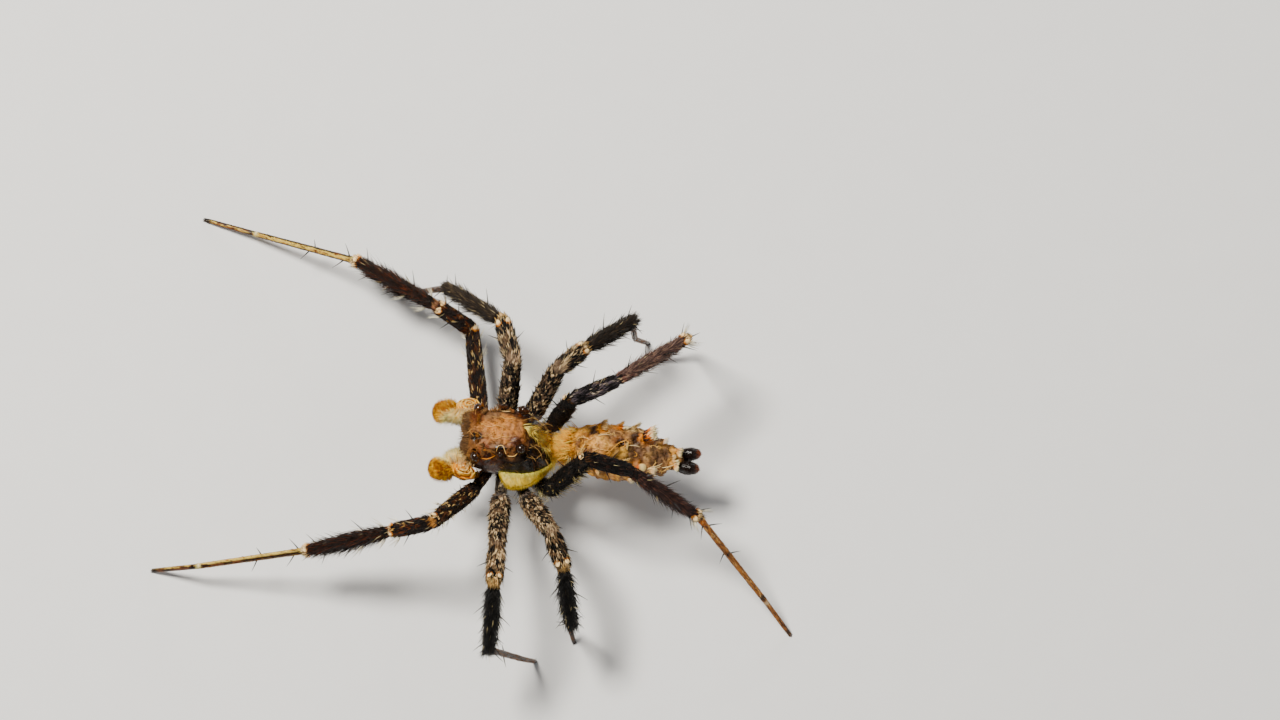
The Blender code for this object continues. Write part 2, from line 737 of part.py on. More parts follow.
def build_palps(home):
    """Each palp: a bent stalk, and at its end the swollen tip with its brush."""
    for side, word in ((1, "right"), (-1, "left")):
        joints = [mirrored(point, side) for point in PALP_JOINTS]
        end = joints[-1]
        tip = mirrored(PALP_TIP, side)
        heading = (tip - end).normalized()
        stalk = tube(f"palp_{word}_stalk", [*joints, end + heading * GAP * MM],
                     (*PALP_RADII, PALP_RADII[-1]), home)
        boolean(stalk, palp_white_hair(joints, side, home), "UNION")
        boolean(stalk, [loft("clearance", carapace_rings(GAP), home)], "DIFFERENCE")
        cut_at_plane(stalk, end - heading * GAP / 2 * MM, heading)
        place(stalk, prosoma_matrix())
        boolean(stalk, [coxa_tube("clearance", 1, side, GAP, home)], "DIFFERENCE")
        dress(stalk, "palp")
        points = [end.lerp(tip, share) for share, width in PALP_TIP_PROFILE]
        radii = [PALP_TIP_RADIUS * width for share, width in PALP_TIP_PROFILE]
        brush = tube(f"palp_{word}_tip", points, radii, home)
        boolean(brush, palp_brush(end, tip, home), "UNION")
        cut_at_plane(brush, end + heading * GAP / 2 * MM, -heading)
        dress(place(brush, prosoma_matrix()), "palp")


def build_pedicel(home):
    start = Vector(PEDICEL_FROM) * MM
    end = Vector(PEDICEL_TO) * MM
    stalk = tube("pedicel", [start, end], (PEDICEL_RADIUS,) * 2, home)
    shield = place(loft("clearance", carapace_rings(GAP), home), prosoma_matrix())
    belly = place(loft("clearance", abdomen_rings(GAP), home), abdomen_matrix())
    boolean(stalk, [shield, belly], "DIFFERENCE")
    dress(stalk, "under_side")


def abdomen_rings(grow=0.0):
    rings = []
    for x, half, low, high in ABDOMEN_STATIONS:
        x += end_shift(x, ABDOMEN_STATIONS, grow)
        rings.append(station_ring(x, half, half, low, high, ABDOMEN_SIDES, ROUND, grow))
    return rings


def abdomen_place(x, angle):
    """The middle of the abdomen at x, and the vector from it to the surface at an angle."""
    for low, high in zip(ABDOMEN_STATIONS, ABDOMEN_STATIONS[1:]):
        if low[0] <= x <= high[0]:
            share = (x - low[0]) / (high[0] - low[0])
            half, bottom, top = (a + (b - a) * share for a, b in zip(low[1:], high[1:]))
            break
    angle = math.radians(angle)
    middle = Vector((x, 0, (bottom + top) / 2)) * MM
    out = Vector((0, math.sin(angle) * half, math.cos(angle) * (top - bottom) / 2)) * MM
    return middle, out


def abdomen_tufts(home):
    made = []
    for x, angle, length, count in ABDOMEN_TUFTS:
        middle, out = abdomen_place(x, angle)
        face = out.normalized()
        across = BACKWARDS.cross(face).normalized()
        for k in range(count):
            spread = across * (k - (count - 1) / 2) * TUFT_SPREAD
            way = (face * TUFT_RISE + BACKWARDS * TUFT_BACK + spread).normalized()
            root = middle + out * TUFT_ROOT + spread * TUFT_WIDTH * MM
            made.append(lock(root, way, face, length + TUFT_SUNK, TUFT_WIDTH, TUFT_CURL, home,
                             TUFT_THICKNESS))
    for angle in WAIST_ANGLES:
        middle, out = abdomen_place(WAIST_X, angle)
        face = out.normalized()
        way = (face * TUFT_RISE - BACKWARDS).normalized()
        made.append(lock(middle + out * TUFT_ROOT, way, face, WAIST_LENGTH, TUFT_WIDTH,
                         WAIST_CURL, home, TUFT_THICKNESS))
    return made


def build_abdomen(home):
    body = loft("abdomen", abdomen_rings(), home)
    boolean(body, abdomen_tufts(home), "UNION")
    dress(place(body, abdomen_matrix()), "abdomen")


def build_spinnerets(home):
    """Two long upper spinnerets and two lower ones, joined at their roots."""
    base = None
    rest = []
    for start, end, radius in SPINNERETS:
        for side in (1, -1):
            a = mirrored(start, side)
            b = mirrored(end, side)
            points = [a.lerp(b, share) for share, width in SPINNERET_PROFILE]
            radii = [radius * width for share, width in SPINNERET_PROFILE]
            piece = tube("spinneret", points, radii, home, FINE_RESOLUTION)
            if base is None:
                base = piece
            else:
                rest.append(piece)
    rest.append(ball("hub", Vector(HUB_AT) * MM, HUB_RADIUS, home, *EYE_SIDES))
    base.name = "spinnerets"
    boolean(base, rest, "UNION")
    boolean(base, [loft("clearance", abdomen_rings(GAP), home)], "DIFFERENCE")
    dress(place(base, abdomen_matrix()), "spinneret")


def direction(heading, pitch):
    heading = math.radians(heading)
    pitch = math.radians(pitch)
    flat = math.cos(pitch)
    return Vector((flat * math.cos(heading), flat * math.sin(heading), math.sin(pitch)))


def leg_joints(leg):
    """Hip to foot: six places, of which the last is level with the floor."""
    number = int(leg[3])
    side = 1 if leg.endswith("right") else -1
    headings, pitches = POSES[leg]
    lengths = LEG_LENGTHS[number]
    joints = [prosoma_matrix() @ mirrored(COXAE[number][1], side)]
    for heading, pitch, length in zip(headings, pitches, lengths):
        joints.append(joints[-1] + direction(heading, pitch) * length * MM)
    drop = joints[-1].z - FOOT_HEIGHT * MM
    pitch = -math.degrees(math.asin(drop / (lengths[4] * MM)))
    joints.append(joints[-1] + direction(headings[4], pitch) * lengths[4] * MM)
    return joints


def mitre(obj, joint, before, after, is_first):
    """Cuts a segment at a joint, on the plane that halves the bend, with half the gap."""
    normal = (before + after).normalized()
    shift = normal * GAP / 2 * MM
    if is_first:
        return cut_at_plane(obj, joint - shift, normal)
    return cut_at_plane(obj, joint + shift, -normal)


def segment(name, start, end, profile, radius, home):
    along = (end - start).normalized()
    length = (end - start).length
    points = [start - along * OVERRUN * MM]
    radii = [profile[0][1] * radius]
    for share, width in profile:
        points.append(start + along * length * share)
        radii.append(width * radius)
    points.append(end + along * OVERRUN * MM)
    radii.append(profile[-1][1] * radius)
    return tube(name, points, radii, home)


def tibia_fringe(start, way, number, home):
    """The brush that names the animal: locks under and over the tibia, leaning outwards."""
    length = LEG_LENGTHS[number][2]
    made = []
    for row, share in enumerate(TIBIA_ROWS[number]):
        swell = FRINGE_AT_ENDS + FRINGE_SWELL * math.sin(math.pi * share)
        under = FRINGE_UNDER_ANGLES[row % 2]
        over = FRINGE_OVER_ANGLES[row % 2]
        places = (
            (180 - under, TIBIA_UNDER[number]),
            (180 + under, TIBIA_UNDER[number]),
            (over, TIBIA_OVER[number]),
        )
        for angle, reach in places:
            made.append(
                limb_lock(start, way, share * length * MM, TIBIA_RADIUS, angle, FRINGE_LEAN,
                          reach * swell, TIBIA_LOCK_WIDTH, home)
            )
    return made


def coxa_ends(number, side):
    inner, outer = COXAE[number]
    return prosoma_matrix() @ mirrored(inner, side), prosoma_matrix() @ mirrored(outer, side)


def coxa_tube(name, number, side, grow, home):
    """A coxa before it is cut, or with grow the space that its neighbours leave free."""
    inner, outer = coxa_ends(number, side)
    return segment(name, inner, outer, COXA_PROFILE, COXA_RADIUS + grow, home)


def build_leg(leg, home):
    number = int(leg[3])
    side = 1 if leg.endswith("right") else -1
    joints = leg_joints(leg)
    ways = [(b - a).normalized() for a, b in zip(joints, joints[1:])]
    inner, outer = coxa_ends(number, side)
    coxa_way = (outer - inner).normalized()
    coxa = coxa_tube(f"{leg}_coxa", number, side, 0.0, home)
    mitre(coxa, joints[0], coxa_way, ways[0], True)
    clearances = [
        place(loft("clearance", carapace_rings(GAP), home), prosoma_matrix()),
        place(loft("clearance", sternum_rings(GAP), home), prosoma_matrix()),
    ]
    if number > 1:
        clearances.append(coxa_tube("clearance", number - 1, side, GAP, home))
    boolean(coxa, clearances, "DIFFERENCE")
    dress(coxa, "leg_dark")

    femur = segment(f"{leg}_femur", joints[0], joints[1], FEMUR_PROFILE, FEMUR_RADIUS, home)
    coat = limb_spines(joints[0], joints[1], FEMUR_RADIUS, FEMUR_SPINES, home)
    coat += limb_tufts(joints[0], joints[1], FEMUR_RADIUS, FEMUR_TUFTS, home)
    boolean(femur, coat, "UNION")
    mitre(femur, joints[0], coxa_way, ways[0], False)
    mitre(femur, joints[1], ways[0], ways[1], True)
    shield = place(loft("clearance", carapace_rings(GAP), home), prosoma_matrix())
    boolean(femur, [shield], "DIFFERENCE")
    dress(femur, "leg_dark")

    patella = segment(f"{leg}_patella", joints[1], joints[2], PATELLA_PROFILE,
                      PATELLA_RADIUS, home)
    coat = limb_spines(joints[1], joints[2], PATELLA_RADIUS, PATELLA_SPINES, home)
    coat += limb_tufts(joints[1], joints[2], PATELLA_RADIUS, PATELLA_TUFTS, home)
    boolean(patella, coat, "UNION")
    mitre(patella, joints[1], ways[0], ways[1], False)
    mitre(patella, joints[2], ways[1], ways[2], True)
    dress(patella, "leg_dark")

    tibia = segment(f"{leg}_tibia", joints[2], joints[3], TIBIA_PROFILE, TIBIA_RADIUS, home)
    coat = limb_spines(joints[2], joints[3], TIBIA_RADIUS, TIBIA_SPINES, home)
    coat += tibia_fringe(joints[2], ways[2], number, home)
    boolean(tibia, coat, "UNION")
    mitre(tibia, joints[2], ways[1], ways[2], False)
    mitre(tibia, joints[3], ways[2], ways[3], True)
    if leg in FOOT_BESIDE_TIBIA:
        clearance = foot_tube("clearance", FOOT_BESIDE_TIBIA[leg], FOOT_CLEARANCE, home)
        boolean(tibia, [clearance], "DIFFERENCE")
    dress(tibia, "leg_dark")

    build_foot(leg, joints, ways, home)


def foot_tube(name, leg, grow, home):
    """The slender metatarsus and tarsus, or with grow the space that its neighbours leave."""
    joints = leg_joints(leg)
    ways = [(b - a).normalized() for a, b in zip(joints, joints[1:])]
    lengths = LEG_LENGTHS[int(leg[3])][3:]
    points = [joints[3] - ways[3] * OVERRUN * MM]
    radii = [METATARSUS_PROFILE[0][1] * METATARSUS_RADIUS]
    for share, width in METATARSUS_PROFILE:
        points.append(joints[3] + ways[3] * share * lengths[0] * MM)
        radii.append(width * METATARSUS_RADIUS)
    for share, width in TARSUS_PROFILE:
        points.append(joints[4] + ways[4] * share * lengths[1] * MM)
        radii.append(width * TARSUS_RADIUS)
    points.append(joints[5] + ways[4] * FOOT_OVERRUN * MM)
    radii.append(TARSUS_END * TARSUS_RADIUS)
    return tube(name, points, [radius + grow for radius in radii], home)


def build_foot(leg, joints, ways, home):
    """Metatarsus and tarsus in one piece, with its spines and a small flat to stand on."""
    foot = foot_tube(f"{leg}_foot", leg, 0.0, home)
    places = FOOT_SPINES
    if leg in FOOT_BESIDE_TIBIA.values():
        places = [spot for spot in FOOT_SPINES if spot[0] < HIDDEN_SPINES_FROM]
    spines = limb_spines(joints[3], joints[4], METATARSUS_RADIUS, places, home)
    boolean(foot, spines, "UNION")
    mitre(foot, joints[3], ways[2], ways[3], False)
    cut_at_plane(foot, Vector((joints[5].x, joints[5].y, 0)), Vector((0, 0, -1)))
    dress(foot, "leg_pale")


def stand_over_origin(home):
    """Moves the whole model so that the middle of its box is over the origin."""
    corners = [obj.matrix_world @ v.co for obj in home.objects for v in obj.data.vertices]
    middle_x = (min(c.x for c in corners) + max(c.x for c in corners)) / 2
    middle_y = (min(c.y for c in corners) + max(c.y for c in corners)) / 2
    shift = Matrix.Translation((-middle_x, -middle_y, 0))
    for obj in home.objects:
        place(obj, shift)


def main():
    home = clear_scene()
    build_carapace(home)
    build_eyes(home)
    build_sternum(home)
    build_chelicerae(home)
    build_palps(home)
    build_pedicel(home)
    build_abdomen(home)
    build_spinnerets(home)
    for leg in POSES:
        build_leg(leg, home)
    stand_over_origin(home)


main()
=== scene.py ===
"""The surfaces of a life-size still model of a fringed jumping spider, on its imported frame."""

import math

import bpy
import numpy as np
from mathutils import Matrix, Vector


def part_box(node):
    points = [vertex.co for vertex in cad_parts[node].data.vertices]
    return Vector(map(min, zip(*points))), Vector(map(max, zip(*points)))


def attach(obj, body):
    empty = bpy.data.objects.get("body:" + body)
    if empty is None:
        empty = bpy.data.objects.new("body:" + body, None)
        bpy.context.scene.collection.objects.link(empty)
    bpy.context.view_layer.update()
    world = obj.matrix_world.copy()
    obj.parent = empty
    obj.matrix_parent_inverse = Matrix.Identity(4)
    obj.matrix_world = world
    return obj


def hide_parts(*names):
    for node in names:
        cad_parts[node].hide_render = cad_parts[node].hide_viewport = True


MM = 0.001
TAU = 2 * math.pi
FLOOR_GAP = 0.003  # no hair comes lower than this
SHEET_GAP = 0.004  # nor any skin of a leg lower than this
FINE_STEP = 0.02  # spacing of the points from which tubes and legs are smoothed
CAP_SHARES = (0.93, 0.8, 0.6, 0.35, 0.08)  # radii of the rings that round off an end
CAP_RINGS = len(CAP_SHARES)

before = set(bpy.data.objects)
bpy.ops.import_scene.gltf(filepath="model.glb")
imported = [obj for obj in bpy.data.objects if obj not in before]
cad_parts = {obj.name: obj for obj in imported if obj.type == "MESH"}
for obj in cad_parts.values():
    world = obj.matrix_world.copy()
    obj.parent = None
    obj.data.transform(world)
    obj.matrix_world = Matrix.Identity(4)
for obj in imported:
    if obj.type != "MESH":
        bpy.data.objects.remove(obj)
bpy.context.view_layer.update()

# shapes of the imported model
PROSOMA_AT = np.array((-1.30, 0.0, 2.50))
PROSOMA_ROLL = math.radians(-12)
ABDOMEN_AT = np.array((0.0, 0.0, 2.36))
ABDOMEN_YAW = math.radians(-2.5)
BOX_POWER = 2.7
# x, half width low down, half width on top, lowest z, highest z
CARAPACE_STATIONS = (
    (-1.19, 0.50, 0.48, -0.20, 0.36),
    (-1.13, 0.68, 0.64, -0.34, 0.54),
    (-0.95, 0.77, 0.72, -0.46, 0.64),
    (-0.62, 0.85, 0.74, -0.60, 0.70),
    (-0.25, 0.93, 0.73, -0.62, 0.76),
    (0.08, 0.99, 0.70, -0.62, 0.82),
    (0.34, 1.01, 0.64, -0.62, 0.82),
    (0.56, 0.98, 0.56, -0.62, 0.64),
    (0.80, 0.86, 0.46, -0.62, 0.34),
    (1.00, 0.66, 0.36, -0.60, 0.02),
    (1.14, 0.40, 0.24, -0.52, -0.22),
)
# x, half width, lowest z, highest z
ABDOMEN_STATIONS = (
    (0.10, 0.24, -0.30, 0.22),
    (0.24, 0.42, -0.44, 0.42),
    (0.50, 0.60, -0.58, 0.60),
    (0.90, 0.71, -0.66, 0.70),
    (1.35, 0.75, -0.68, 0.72),
    (1.80, 0.72, -0.64, 0.68),
    (2.25, 0.62, -0.54, 0.58),
    (2.65, 0.49, -0.42, 0.44),
    (2.98, 0.34, -0.30, 0.28),
    (3.18, 0.20, -0.20, 0.14),
)
# x, distance from the midline, z, radius, and the way each eye looks
EYES = {
    "front_middle": ((-1.06, 0.27, 0.20), 0.25, (-1.0, 0.06, 0.10)),
    "front_side": ((-0.86, 0.70, 0.44), 0.14, (-0.75, 0.60, 0.30)),
    "rear_middle": ((-0.22, 0.68, 0.66), 0.085, (0.0, 0.80, 0.60)),
    "rear_side": ((0.31, 0.56, 0.78), 0.13, (0.25, 0.75, 0.60)),
}
LARGE_EYE = 0.2
CHELICERA_TOP = (-1.02, 0.25, -0.42)
CHELICERA_TIP = (-1.12, 0.22, -1.06)
CHELICERA_RADIUS = 0.20
CHELICERA_PROFILE = ((0.0, 0.6), (0.12, 0.92), (0.45, 1.0), (0.8, 0.8), (1.0, 0.45))
PALP_JOINTS = (
    (-0.78, 0.62, -0.78),
    (-1.16, 0.90, -0.30),
    (-1.42, 0.86, -0.06),
    (-1.66, 0.80, -0.08),
)
PALP_RADII = (0.13, 0.17, 0.18, 0.19)
PALP_TIP = (-1.96, 0.79, -0.20)
PALP_TIP_RADIUS = 0.19
PALP_TIP_PROFILE = ((0, 0.72), (0.3, 0.95), (0.55, 1.02), (0.8, 0.9), (0.93, 0.66), (1.0, 0.36))
# Middle of the hair ball on each palp, and how far its hair reaches
PALP_BALL = (-1.73, 0.81, -0.14)
PALP_REACH = (0.37, 0.42, 0.33)
SPINNERETS = (
    ((3.16, 0.17, -0.02), (3.62, 0.21, 0.00), 0.15),
    ((3.10, 0.15, -0.26), (3.46, 0.18, -0.34), 0.12),
)
SPINNERET_PROFILE = ((0.0, 0.90), (0.25, 1.05), (0.60, 1.18), (0.85, 1.0), (0.95, 0.8), (1.0, 0.5))
# femur, patella, tibia, metatarsus, tarsus
LEG_LENGTHS = {
    1: (2.60, 1.25, 2.45, 3.15, 1.40),
    2: (2.40, 1.15, 1.85, 2.25, 1.00),
    3: (2.10, 0.95, 1.50, 2.00, 0.90),
    4: (2.75, 1.25, 2.40, 3.00, 1.30),
}
COXAE = {
    1: ((-0.52, 0.40, -0.86), (-0.82, 0.98, -0.78)),
    2: ((-0.17, 0.40, -0.86), (-0.16, 1.18, -0.78)),
    3: ((0.19, 0.40, -0.86), (0.48, 1.16, -0.78)),
    4: ((0.54, 0.38, -0.86), (1.06, 0.95, -0.74)),
}
POSES = {
    "leg1_right": ((99, 159, 152, 162, 164), (-9, 36, -6, -23)),
    "leg1_left": ((-124, -173, -170, -174, 179), (46, -32, -26, -23)),
    "leg2_right": ((83, 107, 148, 148, 148), (68, -11, -16, -69)),
    "leg2_left": ((-89, -90, -91, 21, 35), (43, 20, -32, -66)),
    "leg3_right": ((53, 46, 37, 29, 22), (60, -13, -9, -87)),
    "leg3_left": ((-59, -67, -78, 102, -61), (45, -6, -22, -75)),
    "leg4_right": ((-3, 26, 39, 100, -160), (80, 9, -16, -77)),
    "leg4_left": ((14, -5, -23, -42, -43), (68, -27, -33, -36)),
}
FOOT_HEIGHT = 0.04
SEGMENT_RADII = (0.165, 0.22, 0.19, 0.18, 0.10, 0.075)
SEGMENT_PROFILES = (
    ((0.0, 1.0), (0.5, 1.1), (1.0, 1.0)),
    ((0.0, 0.80), (0.15, 0.95), (0.4, 1.0), (0.7, 0.92), (0.9, 0.82), (1.0, 0.80)),
    ((0.0, 0.95), (0.3, 1.05), (0.7, 1.05), (1.0, 0.90)),
    ((0.0, 0.90), (0.2, 1.0), (0.5, 1.0), (0.8, 0.82), (1.0, 0.62)),
    ((0.0, 1.2), (0.08, 1.05), (0.97, 0.85), (1.0, 1.0)),
    ((0.0, 1.1), (0.1, 1.05), (0.92, 0.9), (1.0, 0.8)),
)
SEGMENTS = 6
COXA, FEMUR, PATELLA, TIBIA, METATARSUS, TARSUS = range(SEGMENTS)
SEGMENT_WORDS = ("coxa", "femur", "patella", "tibia", "foot")


# numbers and vectors
def unit(v):
    return v / np.maximum(np.linalg.norm(v, axis=-1, keepdims=True), 1e-12)


def dot(a, b):
    return np.sum(a * b, axis=-1, keepdims=True)


def smooth(x, low, high):
    t = np.clip((x - low) / (high - low), 0.0, 1.0)
    return t * t * (3 - 2 * t)


RICHNESS = 1.3  # the picture's tone curve greys strong colours, so they start out richer
LUMINANCE = np.array((0.2126, 0.7152, 0.0722))


def tone(r, g, b):
    """A linear colour from the usual 0 to 255 values."""
    c = np.array((r, g, b)) / 255.0
    c = np.where(c <= 0.04045, c / 12.92, ((c + 0.055) / 1.055) ** 2.4)
    grey = np.dot(c, LUMINANCE)
    return np.clip(grey + (c - grey) * RICHNESS, 0.0, 1.0)


def blend(a, b, share):
    return a * (1 - share) + b * share


def mix(a, b, w):
    """Colours from a to b, with a weight for each place."""
    return blend(a, b, np.asarray(w)[..., None])


def hashed(i, j, k, seed):
    n = (i * 374761393 + j * 668265263 + k * 2147483647 + seed * 1274126177) & 0xFFFFFFFF
    n = (n ^ (n >> 13)) * 1274126177 & 0xFFFFFFFF
    n = (n ^ (n >> 16)) & 0xFFFFFFFF
    return n / 4294967295.0


def noise(p, scale, seed):
    """Smooth noise from 0 to 1 at the places p, with cells of that size."""
    q = np.asarray(p) / scale + 1000.0
    base = np.floor(q).astype(np.int64)
    f = q - base
    f = f * f * (3 - 2 * f)
    total = 0.0
    for dx in (0, 1):
        for dy in (0, 1):
            for dz in (0, 1):
                w = (f[..., 0] if dx else 1 - f[..., 0])
                w = w * (f[..., 1] if dy else 1 - f[..., 1])
                w = w * (f[..., 2] if dz else 1 - f[..., 2])
                total = total + w * hashed(
                    base[..., 0] + dx, base[..., 1] + dy, base[..., 2] + dz, seed
                )
    return total


def rng_for(word):
    return np.random.default_rng(sum(ord(c) * (i + 1) for i, c in enumerate(word)))


def turned(v, axis, angle):
    """v turned about the unit axis by angle, for arrays."""
    c = np.cos(angle)[..., None]
    s = np.sin(angle)[..., None]
    return v * c + np.cross(axis, v) * s + axis * dot(axis, v) * (1 - c)


def rotation_x(angle):
    c, s = math.cos(angle), math.sin(angle)
    return np.array(((1, 0, 0), (0, c, -s), (0, s, c)))


def rotation_z(angle):
    c, s = math.cos(angle), math.sin(angle)
    return np.array(((c, -s, 0), (s, c, 0), (0, 0, 1)))


BACKWARD = np.array((1.0, 0.0, 0.0))
UPWARD = np.array((0.0, 0.0, 1.0))
PROSOMA_TURN = rotation_x(PROSOMA_ROLL)
ABDOMEN_TURN = rotation_z(ABDOMEN_YAW)


def from_prosoma(p):
    return np.asarray(p, float) @ PROSOMA_TURN.T + PROSOMA_AT


def from_abdomen(p):
    return np.asarray(p, float) @ ABDOMEN_TURN.T + ABDOMEN_AT


def mirrored(p, side):
    return np.array((p[0], p[1] * side, p[2]), float)


def side_of(name):
    """1 for the right side and -1 for the left."""
    return 1 if name.endswith("right") else -1


def frame_shift():
    """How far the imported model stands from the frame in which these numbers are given."""
    low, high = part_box("eye_front_middle_left")
    centre = (np.array(low) + np.array(high)) / 2 / MM
    return centre - from_prosoma(mirrored(EYES["front_middle"][0], -1))


SHIFT = frame_shift()
SHIFT[2] = 0.0


# sheets: closed lofts that carry the coat
class Sheet:
    """A tube-like surface as a grid of rings, with its normals and its place on the map."""

    def __init__(self, name, grid, tile, extra=None):
        self.name = name
        self.grid = grid
        self.tile = tile
        self.local = grid
        self.extra = extra or {}
        self.measure()

    def measure(self):
        g = self.grid
        self.along = unit(np.gradient(g, axis=0))
        across = unit(np.roll(g, -1, axis=1) - np.roll(g, 1, axis=1))
        n = unit(np.cross(self.along, across))
        middle = g.mean(axis=1, keepdims=True)
        if np.sum(n * (g - middle)) < 0:
            n = -n
        self.normal = n

    def push(self, depth):
        self.grid = self.grid + self.normal * depth[..., None]
        self.measure()

    def placed(self, move):
        """Keeps the local places, and moves the grid into the body's frame."""
        self.local = self.grid
        self.grid = move(self.grid)
        self.measure()
        return self

    def areas(self):
        g = self.grid
        a = g[1:] - g[:-1]
        b = np.roll(g, -1, axis=1)[:-1] - g[:-1]
        return np.linalg.norm(np.cross(a, b), axis=-1)

    def read(self, table, rows, cols):
        """A table on the grid read between its points."""
        n, m = self.grid.shape[:2]
        i = np.clip(np.floor(rows).astype(int), 0, n - 2)
        j = np.floor(cols).astype(int) % m
        f = (rows - i)[..., None]
        h = (cols - np.floor(cols))[..., None]
        k = (j + 1) % m
        low = table[i, j] * (1 - h) + table[i, k] * h
        high = table[i + 1, j] * (1 - h) + table[i + 1, k] * h
        return low * (1 - f) + high * f

    def scatter(self, rng, per_mm2, weight=None):
        """Rows and columns of places spread over the surface."""
        area = self.areas()
        if weight is not None:
            w = weight(self)
            w = (w[1:] + w[:-1]) / 2
            area = area * w
        total = area.sum()
        count = int(total * per_mm2)
        if count < 1:
            return np.zeros(0), np.zeros(0)
        edges = np.cumsum(area.ravel()) / total
        picks = (np.arange(count) + rng.random(count)) / count
        cell = np.minimum(np.searchsorted(edges, picks), area.size - 1)
        i, j = np.divmod(cell, area.shape[1])
        return i + rng.random(count), j + rng.random(count)

    def map_place(self, rows, cols):
        n, m = self.grid.shape[:2]
        x0, y0, x1, y1 = self.tile
        return np.stack((x0 + (x1 - x0) * rows / (n - 1), y0 + (y1 - y0) * cols / m), axis=-1)


def blurred(values, sigma):
    """Values along the first axis smoothed, with their ends kept."""
    if sigma <= 0:
        return values
    reach = int(3 * sigma) + 1
    k = np.exp(-0.5 * (np.arange(-reach, reach + 1) / sigma) ** 2)
    k /= k.sum()
    flat = values.reshape(len(values), -1)
    padded = np.concatenate((
        2 * flat[:1] - flat[1:reach + 1][::-1],
        flat,
        2 * flat[-1:] - flat[-reach - 1:-1][::-1],
    ))
    out = np.stack([np.convolve(padded[:, c], k, mode="valid") for c in range(flat.shape[1])], axis=1)
    return out.reshape(values.shape)


def capped(grid, bulge):
    """The grid with rings that close its two ends."""
    ends = []
    for ring, inner in ((grid[0], grid[1]), (grid[-1], grid[-2])):
        middle = ring.mean(axis=0)
        way = unit(middle - inner.mean(axis=0))
        ends.append([middle + (ring - middle) * f + way * bulge * math.sqrt(1 - f * f) for f in CAP_SHARES])
    return np.concatenate([np.array(ends[0][::-1]), grid, np.array(ends[1])])


def table_at(x, marks, table):
    """Each column of the table read at x."""
    return np.stack([np.interp(x, marks, table[:, c]) for c in range(table.shape[1])], axis=1)


def ring_points(middle, up, side, radii, sides):
    """A ring of points round each middle point."""
    angle = np.arange(sides) / sides * TAU
    out = up[:, None] * np.cos(angle)[None, :, None] + side[:, None] * np.sin(angle)[None, :, None]
    return middle[:, None] + out * radii[:, None, None]


def lengths_of(points):
    return np.linalg.norm(np.diff(points, axis=0), axis=1)


def marks_of(points):
    """The distance of each point from the first, measured along the line."""
    return np.concatenate(((0,), np.cumsum(lengths_of(points))))


def power(value, exponent):
    return np.sign(value) * np.abs(value) ** exponent


def station_grid(stations, rows, cols, box_power, sigma):
    """Rings between the stations, smoothed lengthwise."""
    s = np.array(stations)
    if s.shape[1] == 4:
        s = np.column_stack((s[:, 0], s[:, 1], s[:, 1], s[:, 2], s[:, 3]))
    share = np.linspace(0, 1, rows)
    # the rings stand a little closer at the two ends
    x = s[0, 0] + (s[-1, 0] - s[0, 0]) * (share + 0.04 * np.sin(share * TAU) * -1)
    table = blurred(table_at(x, s[:, 0], s[:, 1:]), sigma * rows)
    t = np.arange(cols) / cols * TAU
    across = power(np.cos(t), 2 / box_power)[None]
    up = power(np.sin(t), 2 / box_power)[None]
    low_half, high_half, low, high = (table[:, c:c + 1] for c in range(4))
    half = low_half + (high_half - low_half) * (up + 1) / 2
    y = across * half
    z = (low + high) / 2 + up * (high - low) / 2
    return np.stack((np.broadcast_to(x[:, None], y.shape), y, z), axis=-1)


def tube_grid(points, radii, sides, step, sigma, upper=(0, 0, 1)):
    """A round tube through the points with rounded bends, and each ring's share of the way along."""
    points = np.array(points, float)
    marks = marks_of(points)
    s = np.linspace(0, marks[-1], max(8, int(marks[-1] / FINE_STEP)))
    middle = blurred(table_at(s, marks, points), sigma / s[1])
    at = np.linspace(0, marks[-1], max(4, int(marks[-1] / step)))
    middle = table_at(at, s, middle)
    way = unit(np.gradient(middle, axis=0))
    up = np.tile(np.asarray(upper, float), (len(at), 1))
    up = unit(up - way * dot(up, way))
    radius = radii(at / marks[-1]) if callable(radii) else np.interp(at, marks, radii)
    return ring_points(middle, up, np.cross(way, up), radius, sides), at / marks[-1]


# places on the map, one for each sheet
TILES = {
    "carapace": (0.01, 0.01, 0.34, 0.44),
    "abdomen": (0.36, 0.01, 0.70, 0.44),
    "sternum": (0.72, 0.01, 0.80, 0.12),
    "pedicel": (0.82, 0.01, 0.88, 0.08),
    "jaw_right": (0.72, 0.14, 0.80, 0.24),
    "jaw_left": (0.82, 0.14, 0.90, 0.24),
    "palp_right": (0.72, 0.26, 0.84, 0.34),
    "palp_left": (0.86, 0.26, 0.98, 0.34),
    "spin_0": (0.72, 0.36, 0.77, 0.44),
    "spin_1": (0.79, 0.36, 0.84, 0.44),
    "spin_2": (0.86, 0.36, 0.91, 0.44),
    "spin_3": (0.93, 0.36, 0.98, 0.44),
    "hub": (0.92, 0.01, 0.98, 0.08),
    "crescent_left": (0.92, 0.12, 0.98, 0.17),
    "crescent_right": (0.92, 0.19, 0.98, 0.24),
}
for number, word in enumerate(POSES):
    TILES[word] = (0.01, 0.46 + 0.067 * number, 0.99, 0.515 + 0.067 * number)


# body
COAT_DEPTH = 0.03


